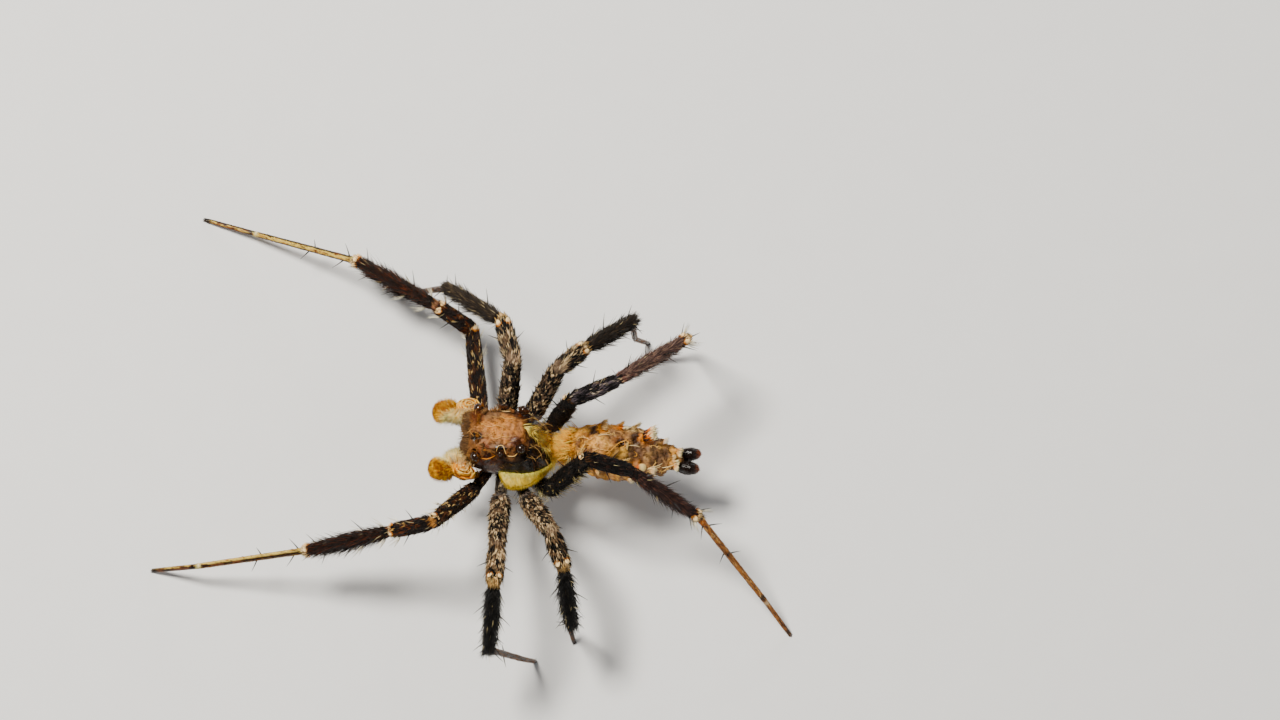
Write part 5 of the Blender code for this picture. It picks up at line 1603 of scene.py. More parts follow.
# Hair round the eyes: dark and light tone
RIM_TONES = {
    "front_middle": (tone(196, 110, 50), tone(236, 200, 150)),
    "front_side": (tone(62, 34, 18), tone(140, 92, 54)),
    "rear_middle": (tone(38, 20, 11), tone(96, 56, 30)),
    "rear_side": (tone(38, 20, 11), tone(96, 56, 30)),
}


def eye_rims():
    """Short pale and rusty hair round each eye."""
    rng = rng_for("eye rims")
    pieces = []
    for word, (at, radius, look) in EYES.items():
        count, back, reach = (260, -0.12, 0.09) if radius > LARGE_EYE else (130, 0.0, 0.06)
        for side in (-1, 1):
            centre = mirrored(at, side)
            axis = unit(mirrored(look, side))
            first = unit(np.cross(axis, np.array((0.1, 0.2, 1.0))))
            second = np.cross(axis, first)
            angle = rng.uniform(0, TAU, count)
            out = first * np.cos(angle)[:, None] + second * np.sin(angle)[:, None]
            roots = centre + out * (radius * 1.03) + axis * (radius * back)
            roots = from_prosoma(roots + axis * rng.normal(0, 0.02, (count, 1)))
            ways = unit(out * 0.75 + axis * 0.65 + rng.normal(0, 0.15, (count, 3)))
            colour = mix(*RIM_TONES[word], rng.random(count))
            ways = ways @ PROSOMA_TURN.T
            place, normal, spot = nearest(carapace, np.linalg.norm(carapace.grid - roots[0], axis=-1))
            length = reach * rng.uniform(0.7, 1.2, count)
            pieces.append(locks(roots - ways * 0.03, ways, out @ PROSOMA_TURN.T, length + 0.03, 0.022,
                                jitter(rng, colour * 0.7), jitter(rng, colour), spot, profile=HAIR, curl=0.1))
    return pieces


def face_hair():
    """Hair of the face below the front eyes, and on the jaws."""
    rng = rng_for("face")

    def weight(sheet):
        p = sheet.local
        return smooth(-p[..., 0], 0.85, 1.05) * (p[..., 2] < 0.10)

    bed = sown(rng, carapace, 1600, weight)
    bed = bed.kept(clear_of_eyes(bed.local))
    way = lie(rng, bed.everywhere((-0.3, 0.0, -1.0)), bed.normal, 26, 16)
    colour = mix(tone(206, 150, 96), tone(244, 224, 186), rng.random(bed.count))
    pieces = [bed.hair(way, 0.16, 0.022, colour * 0.8, colour, profile=HAIR)]
    for jaw in jaws:
        bed = sown(rng, jaw, 500)
        way = lie(rng, bed.along, bed.normal, 18, 18)
        colour = mix(tone(60, 32, 20), tone(190, 140, 96), rng.random(bed.count))
        pieces.append(bed.hair(way, 0.13, 0.018, colour * 0.8, colour, profile=HAIR))
    return pieces


def under_hair():
    rng = rng_for("under")
    pieces = []
    for sheet, density, colour in ((sternum, 500, tone(150, 130, 110)), (pedicel, 900, tone(214, 176, 96))):
        bed = sown(rng, sheet, density)
        way = lie(rng, bed.along, bed.normal, 20, 22)
        shades = jitter(rng, bed.everywhere(colour), 0.4)
        pieces.append(bed.hair(way, 0.12, 0.018, shades * 0.5, shades, profile=HAIR))
    return pieces


place_piece("coat_carapace", [carapace_coat()], FUR)
place_piece("coat_stripe", [stripe_hair()], FUR)
place_piece("coat_crescent", crescent_hair(), FUR)
place_piece("coat_head", head_rims() + head_tufts() + eye_rims() + face_hair() + brow_hair(), FUR)
place_piece("coat_under", under_hair(), FUR)


# build: coat of the abdomen
def abdomen_coat():
    rng = rng_for("abdomen coat")
    bed = sown(rng, abdomen, 1900)
    back = bed.everywhere((1.0, 0.0, 0.0))
    flow = noise(bed.local, 0.45, 81) * 2 - 1
    back = back + np.cross(bed.normal, back) * (flow * 0.8)[:, None]
    way = lie(rng, back, bed.normal, 12, 22)
    # the coat takes the painted shade and light of the folds with the abdomen's colour
    colour = abdomen_colour(bed.local, bed.table("fold"))
    length = 0.095 * (0.6 + 0.8 * rng.random(bed.count))
    root = jitter(rng, colour * 0.5)
    tip = jitter(rng, np.clip(colour * 1.15, 0, 1), 0.28)
    return bed.hair(way, length, 0.022, root, tip, profile=SCALE, curl=0.15,
                    bend=rng.normal(0, 0.2, bed.count))


WAIST_ORANGE = tone(228, 154, 78)
WAIST_YELLOW = tone(255, 214, 136)


def waist_hair():
    """Ragged yellow hair from the front of the abdomen over the waist, and on the waist itself, with painted
    shadow on its left side and at its roots.
    """
    rng = rng_for("waist")

    def weight(sheet):
        p = sheet.local
        front = 1 - smooth(p[..., 0] + 0.25 * (noise(p, 0.12, 83) - 0.5), 0.20, 0.50)
        return front * smooth(p[..., 2], -0.30, 0.0)

    bed = sown(rng, abdomen, 2600, weight)
    ahead = bed.everywhere((-1.0, 0.0, 0.30))
    way = unit(ahead + bed.normal * 0.45 + rng.normal(0, 0.36, bed.roots.shape))
    shade = np.clip(noise(bed.local, 0.09, 82) * 1.4 - 0.2 + rng.normal(0, 0.25, bed.count), 0, 1)
    colour = mix(WAIST_ORANGE, WAIST_YELLOW, shade)
    # painted shadow: the hair on the left side turns brown
    brown = smooth(-bed.local[:, 1] + 0.3 * (noise(bed.local, 0.1, 84) - 0.5), 0.16, 0.34)
    colour = mix(colour, tone(120, 76, 38), brown * 0.8)
    length = rng.uniform(0.16, 0.44, bed.count)
    # painted shadow: the roots are darker than the tips
    pieces = [bed.hair(way, length, 0.022, jitter(rng, colour * 0.7), jitter(rng, colour * 1.05, 0.25),
                       profile=SCALE, curl=0.25, bend=rng.normal(0, 0.2, bed.count))]
    bed = sown(rng, pedicel, 3600)
    way = unit(bed.normal * 0.9 + rng.normal(0, 0.4, bed.roots.shape) + np.array((0.1, -0.1, 0.1)))
    colour = mix(WAIST_ORANGE, WAIST_YELLOW, rng.random(bed.count))
    length = rng.uniform(0.16, 0.34, bed.count)
    # painted shadow at the roots of the waist's own hair too
    pieces.append(locks(bed.roots, way, bed.along, length, 0.022, jitter(rng, colour * 0.6),
                        jitter(rng, colour, 0.3), bed.places, profile=SCALE, curl=0.2))
    return pieces


# Tufts of the abdomen: x, degrees from the top, length, spread, count, colours from root to tip
ABDOMEN_TUFTS = (
    (1.00, 50, 0.22, 0.09, 70, tone(166, 104, 56), tone(246, 212, 160)),
    (0.98, -52, 0.22, 0.09, 70, tone(166, 104, 56), tone(246, 212, 160)),
    (1.46, 64, 0.20, 0.06, 40, tone(160, 100, 54), tone(240, 198, 136)),
    (1.50, -66, 0.20, 0.06, 40, tone(160, 100, 54), tone(240, 198, 136)),
    (1.86, 74, 0.24, 0.09, 60, tone(214, 160, 96), tone(255, 244, 214)),
    (1.82, -76, 0.24, 0.09, 60, tone(214, 160, 96), tone(255, 244, 214)),
    (1.70, 2, 0.14, 0.05, 30, tone(150, 84, 40), tone(244, 216, 160)),
    (2.62, 42, 0.24, 0.06, 46, tone(190, 130, 80), tone(255, 246, 224)),
    (2.40, -54, 0.26, 0.05, 36, tone(200, 150, 100), tone(250, 232, 196)),
    (3.02, 30, 0.20, 0.07, 60, tone(224, 150, 80), tone(255, 236, 196)),
    (3.00, -40, 0.20, 0.07, 60, tone(224, 150, 80), tone(255, 236, 196)),
    (2.96, -10, 0.16, 0.05, 40, tone(160, 110, 70), tone(240, 214, 170)),
)
# Layers of the large toothed tuft: length, colours from root to tip, count, how far its root is raised
TOOTHED_LAYERS = (
    (0.20, tone(16, 8, 4), tone(64, 30, 12), 60, 0.03),
    (0.31, tone(64, 29, 12), tone(214, 126, 46), 60, 0.015),
    (0.43, tone(206, 122, 50), tone(255, 238, 200), 70, 0.0),
)
# Long bristles: x, degrees from the top, how far they lean aside
ABDOMEN_BRISTLES = ((2.30, -50, 0.3), (2.36, -46, 0.5), (1.74, 4, 0.1), (0.96, 20, 0.2), (2.70, -50, 0.4))


def abdomen_spot(x, degrees):
    return nearest(abdomen, np.linalg.norm(abdomen.local - abdomen_point(x, degrees), axis=-1))


def hair_disc():
    """A round cream pad with an orange root."""
    place, normal, spot = abdomen_spot(2.13, -42)
    side = unit(np.cross(normal, BACKWARD))
    flat = unit(np.cross(side, normal))
    angle = np.arange(36) / 36 * TAU
    pole = np.linspace(0.02, math.pi - 0.02, 16)
    far = np.sin(pole)
    oval = flat * np.cos(angle)[:, None] * 0.18 + side * np.sin(angle)[:, None] * 0.13
    disc = place + normal * 0.03 + far[:, None, None] * oval
    disc = disc + (np.cos(pole) * 0.055)[:, None, None] * normal
    ahead = far[:, None] * np.cos(angle)[None]
    shade = mix(tone(255, 226, 170), tone(196, 104, 40), smooth(-ahead, 0.10, 0.62))
    shade = mix(shade, tone(120, 62, 26), smooth(far[:, None], 0.90, 0.99) * 0.8)
    return sheet_arrays(Sheet("disc", disc, TILES["abdomen"]), shade)


def rosette(rng):
    """A round cream tuft whose front side is orange."""
    place, normal, spot = abdomen_spot(1.62, 60)
    side = unit(np.cross(normal, BACKWARD))
    pieces = []
    for k in range(150):
        angle = rng.uniform(0, TAU)
        out = BACKWARD * math.cos(angle) + side * math.sin(angle)
        root = place + out * 0.10 * math.sqrt(rng.random()) - normal * 0.02
        tip = tone(226, 140, 60) if math.cos(angle) < -0.35 else tone(255, 240, 205)
        way = normal * 0.8 + out * 0.55
        pieces.append(locks(root[None], unit(way), normal, 0.13, 0.05, tip * 0.8, tip, spot, profile=LEAF))
    return pieces


def pit_rim(x, degrees, size):
    """The pale rim of a pit, open on one side."""
    count = 14
    rim = []
    for turn in np.linspace(-1.9, 1.4, count):
        place, normal, spot = abdomen_spot(x + 1.15 * size * math.cos(turn),
                                           degrees + 1.15 * size * math.sin(turn) / 0.7 * 57)
        rim.append(place + normal * 0.03)
    thick = 0.008 * np.sin(np.linspace(0.3, math.pi - 0.2, count))
    return strand(blurred(np.array(rim), 1.2), thick, tone(222, 166, 100), spot)


def bristle(x, degrees, lean):
    place, normal, spot = abdomen_spot(x, degrees)
    share = np.linspace(0, 1, 9)[:, None]
    side = unit(np.cross(normal, BACKWARD))
    way = normal * 0.16 + BACKWARD * 0.36 + side * lean * 0.3
    points = place + way * share - normal * 0.18 * share ** 2
    return strand(points, np.linspace(0.012, 0.004, 9), tone(244, 224, 180), spot, sides=4)


def abdomen_tufts():
    rng = rng_for("abdomen tufts")
    pieces = []
    for x, degrees, length, spread, count, dark, pale in ABDOMEN_TUFTS:
        place, normal, spot = abdomen_spot(x, degrees)
        way = unit(normal * 0.80 + BACKWARD * 0.66)
        pieces.append(tuft(place - normal * 0.03, -BACKWARD, way, np.cross(way, BACKWARD), count, rng, length,
                           spread, 0.032, (dark, pale), spot, fan=0.6))
    # the large toothed tuft: dark at its root, orange, then a white toothed edge
    place, normal, spot = abdomen_spot(2.14, 36)
    way = unit(normal * 0.55 + BACKWARD * 0.80)
    across = unit(np.cross(way, normal))
    for length, dark, pale, count, rise in TOOTHED_LAYERS:
        raised = place - normal * 0.03 + np.array((-0.3, -0.2, 1.0)) * rise
        pieces.append(tuft(raised, -BACKWARD, way, across, count, rng, length, 0.13, 0.075, (dark, pale),
                           spot, fan=0.34, curl=0.02))
    pieces.append(hair_disc())
    pieces += rosette(rng)
    pieces += [pit_rim(x, degrees, size) for x, degrees, size, depth in ABDOMEN_PITS]
    return pieces + [bristle(*row) for row in ABDOMEN_BRISTLES]


# Pale lines of hair over the abdomen's folds, as x and degrees from the top, with radius
ABDOMEN_LINES = (
    (((1.22, -20), (1.39, -6), (1.55, 10), (1.70, 17), (1.80, 13), (1.78, 3)), 0.013),
    (((0.38, 10), (0.50, 18), (0.66, 15), (0.80, 9)), 0.012),
    (((0.50, -28), (0.59, -14), (0.66, -2), (0.68, 7)), 0.012),
    (((1.96, 66), (2.06, 62), (2.22, 58)), 0.010),
    (((2.28, -60), (2.45, -50), (2.59, -30)), 0.013),
    (((2.61, -60), (2.76, -66), (2.86, -54), (2.92, -40)), 0.012),
    (((1.41, -40), (1.61, -29), (1.86, -25)), 0.011),
    (((0.79, -6), (1.06, -11), (1.32, -11)), 0.009),
    (((1.00, 24), (1.20, 30), (1.42, 24)), 0.009),
    (((2.30, 12), (2.46, 20), (2.62, 12)), 0.008),
)


def abdomen_lines():
    rng = rng_for("abdomen lines")
    pieces = []
    for line, radius in ABDOMEN_LINES:
        points, normal, spot = laid_line(line, 3.0, abdomen_spot, 0.036, 2.5)
        thick = 0.75 * radius * (0.35 + 0.65 * bow(len(points)))
        shade = tone(238, 198, 140) if rng.random() < 0.6 else tone(222, 170, 108)
        pieces.append(strand(points, thick, shade, spot))
        # short hair hangs from each line, darker at its root
        for point in points[::2]:
            way = unit(rng.normal(0, 0.5, 3) + np.array((0.6, 0.0, 0.1)))
            pieces.append(locks(point[None], way, normal, 0.10, 0.02, shade * 0.8, shade, spot,
                                profile=SCALE))
    return pieces


def spinneret_coat():
    rng = rng_for("spinnerets")
    pieces = []
    for part in spinnerets:
        bed = sown(rng, part, 420, sunk=0.006)
        x = along_spinneret(part.read(part.grid, bed.rows, bed.cols)[:, 0])
        way = lie(rng, bed.along, bed.normal, 22, 14)
        colour = mix(tone(26, 15, 10), tone(128, 66, 28), smooth(x, 0.85, 1.05) * 0.8)
        pieces.append(bed.hair(way, 0.09, 0.016, jitter(rng, colour * 0.6), jitter(rng, colour * 1.4),
                               profile=HAIR))
    return pieces


place_piece("coat_abdomen", [abdomen_coat()], FUR)
place_piece("coat_waist", waist_hair(), FUR)
place_piece("coat_abdomen_tufts", abdomen_tufts() + abdomen_lines(), FRINGE)
place_piece("coat_spinnerets", spinneret_coat(), FUR)


# build: coat of the palps
def ball_lengths(roots, ways, side):
    """How long each lock must be to end on the outline of the palp's hair ball."""
    reach = np.array(PALP_REACH)
    start = (roots - from_prosoma(mirrored(PALP_BALL, side))) @ PROSOMA_TURN / reach
    way = ways @ PROSOMA_TURN / reach
    a = np.sum(way * way, axis=1)
    b = np.sum(start * way, axis=1)
    c = np.sum(start * start, axis=1) - 1
    return (-b + np.sqrt(np.maximum(b * b - a * c, 0))) / a


def palp_ball_hair(palp, side, rng):
    bed = sown(rng, palp, 7000, lambda sheet: smooth(sheet.extra["tip"][..., 0], -1.15, -0.75))
    middle = from_prosoma(mirrored(PALP_BALL, side))
    swept = unit(np.array((-1.0, side * 0.55, 0.0))) @ PROSOMA_TURN.T
    outward = unit(bed.roots - middle)
    ways = unit(outward * 0.62 + bed.normal * 0.15 + swept * 0.68 + rng.normal(0, 0.16, bed.roots.shape))
    lengths = np.clip(ball_lengths(bed.roots, ways, side), 0.05, 0.42) * rng.uniform(0.66, 1.10, bed.count)
    colour = palp_colour(palp, bed.roots + ways * 0.1, np.ones(bed.count))
    return bed.hair(ways, lengths, 0.018, jitter(rng, colour * 0.6, 0.25), jitter(rng, colour * 1.1, 0.25),
                    profile=HAIR, curl=0.22, bend=rng.normal(0, 0.25, bed.count))


def palp_stalk_hair(palp, rng):
    bed = sown(rng, palp, 1500, lambda sheet: smooth(-sheet.extra["tip"][..., 0], -0.1, 0.1))
    ways = lie(rng, bed.along, bed.normal, 16, 14)
    colour = mix(tone(186, 118, 50), tone(242, 198, 116), noise(bed.roots, 0.05, 53))
    return bed.hair(ways, 0.13, 0.022, jitter(rng, colour * 0.7), jitter(rng, colour), profile=HAIR,
                    curl=0.15)


def palp_cream_fan(palp, side, rng):
    """The cream fan between the palp and the head, on the side of the midline."""
    inward = np.array((0.0, -side, 0.0))
    count = 1500
    at = rng.uniform(0, 1, count)
    base = np.stack((-1.50 + 0.50 * at, np.full(count, (0.80 if side > 0 else 0.73) * side),
                     0.02 + 0.06 * np.sin(at * math.pi)), axis=1)
    roots = from_prosoma(base + rng.normal(0, 0.025, (count, 3)))
    ahead = BACKWARD * (-0.60 + 0.85 * at)[:, None]
    ways = unit(inward * 0.9 + ahead + np.array((0, 0, 0.20)) + rng.normal(0, 0.10, (count, 3)))
    lengths = rng.uniform(0.30, 0.46, count) * (0.75 + 0.25 * np.sin(at * math.pi))
    colour = mix(tone(253, 220, 146), tone(255, 250, 216), rng.random(count))
    root = tone(206, 142, 70) * 0.5 + colour * 0.5
    return locks(roots, ways, UPWARD, lengths, 0.017, jitter(rng, root, 0.15), jitter(rng, colour, 0.12),
                 palp.map_place(20.0, 8.0), profile=HAIR, curl=0.25, bend=rng.normal(0, 0.12, count))


# Middle of the curled hair pad over the bend of each palp's stalk, its half lengths, bands, rings and points
CURL_MIDDLES = {1: (-1.15, 1.00, -0.10), -1: (-1.15, 0.90, -0.08)}
CURL_REACH = (0.31, 0.23, 0.20)
CURL_BANDS = 3
CURL_ROWS = 48
CURL_COLS = 64


def curl_colour(wave, grain):
    """Cream along the tops of the bands, with painted shade that makes their flanks tan and the grooves
    between them brown.
    """
    # painted shade: brown in the grooves and tan on the flanks, by the height of the bands
    colour = mix(tone(112, 66, 26), tone(208, 150, 74), smooth(wave, 0.15, 0.50))
    colour = mix(colour, tone(252, 214, 132), smooth(wave, 0.55, 0.88))
    return mix(colour, tone(186, 122, 60), smooth(grain, 0.58, 0.8) * 0.5)


def curl_dome(middle, side):
    """The pad's grid, and how high its bands stand."""
    reach = CURL_REACH
    far = np.broadcast_to(np.linspace(0.02, 1.0, CURL_ROWS)[:, None], (CURL_ROWS, CURL_COLS))
    angle = np.arange(CURL_COLS) / CURL_COLS * TAU
    # the bands are loops that open towards the palp's tip, flatter and closer together near the middle
    open_side = smooth(-np.cos(angle - 0.5), 0.35, 0.85)[None]
    bent = far + 0.10 * np.sin(2 * angle + 0.8)[None] * far + 0.05 * np.sin(5 * angle)[None] * far
    wave = (np.cos(bent * CURL_BANDS * TAU) * 0.5 + 0.5) * (1 - open_side) + 0.5 * open_side
    drop = np.sqrt(np.maximum(1 - far ** 2, 0))
    thin = far ** 1.25
    x = middle[0] + np.cos(angle)[None] * far * reach[0] + (1 - far) * 0.03
    y = middle[1] + side * (np.sin(angle)[None] * thin * reach[1]) + side * np.cos(angle)[None] * far * 0.05
    z = middle[2] + drop * reach[2] + 0.055 * wave - 0.25 * (x - middle[0])
    grid = from_prosoma(np.stack((x, y, z), axis=-1))
    grid += (noise(grid, 0.05, 55)[..., None] - 0.5) * 0.02
    return grid, wave


def palp_curls(palp, side, rng):
    """The pad as a dome with raised bands, loose curls along them, and a small cream brush on top."""
    middle = mirrored(CURL_MIDDLES[side], side)
    grid, wave = curl_dome(middle, side)
    spot = palp.map_place(10.0, 4.0)
    sheet = Sheet("curl", grid, palp.tile)
    if sheet.normal[10, :, 2].mean() < 0:
        sheet.normal = -sheet.normal
    pieces = [sheet_arrays(sheet, curl_colour(wave, noise(grid, 0.06, 56)))]
    last = CURL_ROWS - 1
    for band in range(1, CURL_BANDS + 1):
        for k in range(26):
            start = rng.uniform(0, TAU)
            turn = np.linspace(0, rng.uniform(0.5, 1.1), HAIR_STEPS)
            share = band / CURL_BANDS + rng.normal(0, 0.05)
            row = np.clip(share * last + np.linspace(0, 2.5, HAIR_STEPS), 0, last)
            col = ((start + turn) / TAU * CURL_COLS) % CURL_COLS
            points = np.array([grid[int(r), int(c) % CURL_COLS] for r, c in zip(row, col)])
            points = blurred(points, 1.0) + UPWARD * 0.016
            shade = tone(255, 226, 164) if rng.random() < 0.7 else tone(196, 116, 48)
            pieces.append(strand(points, np.linspace(0.010, 0.004, HAIR_STEPS), shade, spot, sides=4))
    top = from_prosoma(middle + UPWARD * (CURL_REACH[2] * 0.9))
    count = 160
    roots = top + rng.normal(0, 1, (count, 3)) * np.array((0.06, 0.05, 0.01))
    ways = unit(np.array((-0.15, -side * 0.85, 0.25)) + rng.normal(0, 0.30, (count, 3)))
    colour = mix(tone(214, 140, 68), tone(255, 238, 196), rng.random(count))
    lengths = rng.uniform(0.12, 0.24, count)
    pieces.append(locks(roots, ways, UPWARD, lengths, 0.018, colour * 0.6, colour, spot, profile=LONG_HAIR,
                        curl=0.3))
    return pieces


def palp_coat(palp):
    rng = rng_for(palp.name)
    side = side_of(palp.name)
    pieces = [palp_ball_hair(palp, side, rng), palp_stalk_hair(palp, rng), palp_cream_fan(palp, side, rng)]
    return pieces + palp_curls(palp, side, rng)


for palp in palps:
    place_piece("coat_" + palp.name, palp_coat(palp), FUR)


# build: coat of the legs
# For coxa to tarsus: locks per square millimetre, length, width, lean, swing
LEG_COAT = np.array((
    (1000, 0.14, 0.024, 24, 16),
    (1700, 0.20, 0.038, 25, 8),
    (1700, 0.20, 0.038, 25, 9),
    (1900, 0.17, 0.028, 23, 12),
    (1100, 0.11, 0.018, 12, 9),
    (1100, 0.09, 0.016, 12, 9),
))


def leg_coat(sheet):
    rng = rng_for(sheet.name)
    bed = sown(rng, sheet, 1000, lambda s: LEG_COAT[s.extra["part"][..., 0].astype(int), 0] / 1000.0)
    part, share, run, angle = leg_fields(sheet, bed.rows, bed.cols)
    colour = leg_colour(sheet, part, share, run, angle, rng.random(bed.count) - 0.5)
    # the middle legs look thicker from femur to patella, as their scales are longer and stand higher
    thick = (part >= FEMUR) & (part <= PATELLA) & (sheet.number in (2, 3))
    length, width, lean, swing = LEG_COAT[part, 1:].T
    way = lie(rng, bed.along, bed.normal, lean + np.where(thick, 7, 0), swing)
    length = length * rng.uniform(0.7, 1.25, bed.count) * np.where(thick, 1.20, 1.0)
    width = width * rng.uniform(0.8, 1.2, bed.count) * np.where(thick, 1.15, 1.0)
    root = jitter(rng, colour * 0.6)
    tip = jitter(rng, np.clip(colour * 1.15, 0, 1))
    return bed.hair(way, length, width, root, tip, profile=SCALE, curl=np.where(part <= TIBIA, 0.36, 0.12),
                    bend=rng.normal(0, 0.08, bed.count))


# How long the fringe of the tibia is below and above it, for each pair of legs
TIBIA_UNDER = {1: 0.62, 2: 0.58, 3: 0.62, 4: 0.48}
TIBIA_OVER = {1: 0.50, 2: 0.44, 3: 0.44, 4: 0.38}


def limb_row(sheet, run):
    """The row of a leg's grid at a distance from the body."""
    table = sheet.extra["run"][CAP_RINGS:-CAP_RINGS, 0, 0]
    return np.interp(run, table, np.arange(CAP_RINGS, CAP_RINGS + len(table)))


def fringe(sheet, part, angles, spread, lengths, count, rng, colour_of, lean, width=0.022,
           share_range=(0.06, 0.97), profile=SCALE, ends=0.75):
    """Rows of longer locks that stand off one side of a segment."""
    share = rng.uniform(share_range[0], share_range[1], count)
    run = sheet.marks[part] + share * sheet.lengths[part]
    m = sheet.grid.shape[1]
    middle = np.radians(rng.choice(np.array(angles, float), count) + rng.normal(0, spread, count))
    bed = Bed(sheet, limb_row(sheet, run), (middle / TAU * m) % m, 0.02)
    run, angle = leg_fields(sheet, bed.rows, bed.cols)[2:]
    way = lie(rng, bed.along, bed.normal, lean, 9)
    swell = ends + (1.05 - ends) * np.sin(math.pi * share)
    q = np.stack((run, np.cos(angle) * 0.25, np.sin(angle) * 0.25), axis=-1)
    clumps = 0.70 if sheet.number in (1, 4) else 0.20
    length = rng.uniform(*lengths, count) * swell * (0.97 + clumps * (noise(q, 0.24, 58) - 0.5))
    root, tip = colour_of(count)
    root = jitter(rng, root)
    tip = jitter(rng, tip)
    return bed.hair(way, length, width * rng.uniform(0.7, 1.2, count), root, tip, profile=profile, curl=0.18,
                    bend=rng.normal(0, 0.05, count))


# Tones of the fringes: dark, middle, pale, and how many of the tips are pale
WARM_FRINGE = (tone(10, 6, 4), tone(28, 15, 9), tone(92, 46, 24), 0.18)
BLACK_FRINGE = (tone(5, 4, 4), tone(13, 11, 9), tone(90, 80, 66), 0.02)
FRINGE_TONES = {
    "leg1_right": WARM_FRINGE,
    "leg1_left": WARM_FRINGE,
    "leg2_right": (tone(14, 11, 8), tone(42, 34, 27), tone(116, 100, 80), 0.10),
    "leg2_left": BLACK_FRINGE,
    "leg3_right": (tone(14, 11, 8), tone(42, 34, 27), tone(116, 98, 76), 0.10),
    "leg3_left": BLACK_FRINGE,
    "leg4_right": (tone(26, 19, 17), tone(98, 76, 70), tone(184, 152, 134), 0.32),
    "leg4_left": (tone(12, 8, 7), tone(52, 32, 30), tone(142, 100, 84), 0.20),
}


def fringe_tones(sheet, rng):
    dark, middle, pale, pale_share = FRINGE_TONES[sheet.name]

    def colour_of(count):
        pick = rng.random(count)[:, None]
        light = (rng.random(count) < pale_share)[:, None]
        return blend(dark, middle, pick), np.where(light, pale, middle * (0.6 + pick))

    return colour_of


def dirty_white(rng):
    """Tones of the long hair at the base of the left rear leg: dark and dirty white mixed."""
    def colour_of(count):
        pick = rng.random(count)[:, None]
        pale = blend(tone(190, 174, 130), tone(236, 222, 176), pick)
        dark = blend(tone(24, 19, 14), tone(50, 42, 32), pick)
        light = (rng.random(count) < 0.5)[:, None]
        return np.where(light, pale * 0.6, dark * 0.7), np.where(light, pale, dark)

    return colour_of


def leg_fringes(sheet):
    rng = rng_for(sheet.name + " fringe")
    tones = fringe_tones(sheet, rng)
    under, over = TIBIA_UNDER[sheet.number], TIBIA_OVER[sheet.number]
    scale = sheet.lengths[TIBIA] / 2.45
    outer = sheet.number in (1, 4)
    sides = (0.14, 0.22) if outer else (0.22, 0.27)
    low, high, ends = (0.60, 0.92, 0.6) if outer else (0.72, 0.84, 0.85)
    pieces = [
        fringe(sheet, TIBIA, (138, 158, 202, 222), 16, (under * low, under * high), int(1500 * scale), rng,
               tones, 33, ends=ends),
        fringe(sheet, TIBIA, (-18, 18), 18, (over * low, over * high), int(1100 * scale), rng, tones, 31,
               ends=ends),
        fringe(sheet, TIBIA, (60, 90, 270, 300), 20, sides, int(1100 * scale), rng, tones, 22),
        fringe(sheet, FEMUR, (165, 195), 14, (0.16, 0.30), 320, rng, tones, 30, share_range=(0.25, 0.95)),
        fringe(sheet, PATELLA, (165, 195), 16, (0.16, 0.28), 160, rng, tones, 30, share_range=(0.15, 0.85)),
        fringe(sheet, PATELLA, (-14, 14), 14, (0.12, 0.22), 120, rng, tones, 22, width=0.020,
               share_range=(0.2, 0.75)),
        erect_hairs(sheet, rng),
    ]
    if sheet.name == "leg4_left":
        pale = dirty_white(rng)
        pieces.append(fringe(sheet, FEMUR, (110, 150, 180, 215, 250), 16, (0.28, 0.52), 420, rng, pale, 40,
                             width=0.020, share_range=(0.03, 0.80), profile=LONG_HAIR))
        pieces.append(fringe(sheet, COXA, (90, 150, 200, 260), 22, (0.24, 0.44), 240, rng, pale, 40,
                             width=0.020, share_range=(0.20, 0.95), profile=LONG_HAIR))
    return pieces


# How many of the standing hairs are pale, for each pair of legs
ERECT_PALE = {1: 0.45, 2: 0.6, 3: 0.6, 4: 0.3}


def erect_hairs(sheet, rng):
    """Fine hairs that stand out past the coat on every side."""
    rows, cols = sheet.scatter(rng, 400, lambda s: (s.extra["part"][..., 0] <= TIBIA) * 1.0)
    pick = rng.permutation(len(rows))[:150]
    bed = Bed(sheet, rows[pick], cols[pick])
    way = lie(rng, bed.along, bed.normal, 48, 22)
    light = rng.random(bed.count) < ERECT_PALE[sheet.number]
    tip = np.where(light[:, None], tone(236, 220, 180), tone(40, 30, 22))
    return bed.hair(way, rng.uniform(0.20, 0.36, bed.count), 0.013, tip * 0.7, tip, profile=HAIR, curl=0.25,
                    bend=rng.normal(0, 0.15, bed.count))


# Spines of each segment: share along it, degrees round from its upper side, length
SPINES = {
    FEMUR: ((0.35, 20, 0.42), (0.62, -25, 0.46), (0.82, 15, 0.40)),
    PATELLA: ((0.45, 85, 0.36), (0.55, -85, 0.36)),
    TIBIA: ((0.30, 60, 0.46), (0.45, -70, 0.46), (0.68, 140, 0.48), (0.80, -130, 0.44),
            (0.18, -40, 0.40), (0.60, 30, 0.42), (0.88, 80, 0.40), (0.92, -50, 0.40)),
    METATARSUS: ((0.08, 70, 0.34), (0.12, -80, 0.34), (0.42, 110, 0.30), (0.46, -100, 0.30)),
}
SPINE_RADII = np.array((0.022, 0.019, 0.015, 0.011, 0.007, 0.002))


def leg_spines(sheet):
    """The solids leave out the outer spines of one foot near the crossing, and so does the coat."""
    pieces = []
    for part, rows in SPINES.items():
        for share, degrees, length in rows:
            if sheet.name == "leg2_right" and part == METATARSUS and share > 0.3:
                continue
            place, normal, along, spot = limb_spot(sheet, part, share, degrees)
            way = unit(normal + along * 0.55)
            steps = np.linspace(0, 1, len(SPINE_RADII))[:, None]
            points = place - normal * 0.03 + way * steps * (length + 0.03)
            points = points + along * 0.10 * length * steps ** 2
            pieces.append(strand(points, SPINE_RADII, tone(14, 9, 8), spot, sides=6))
    return pieces


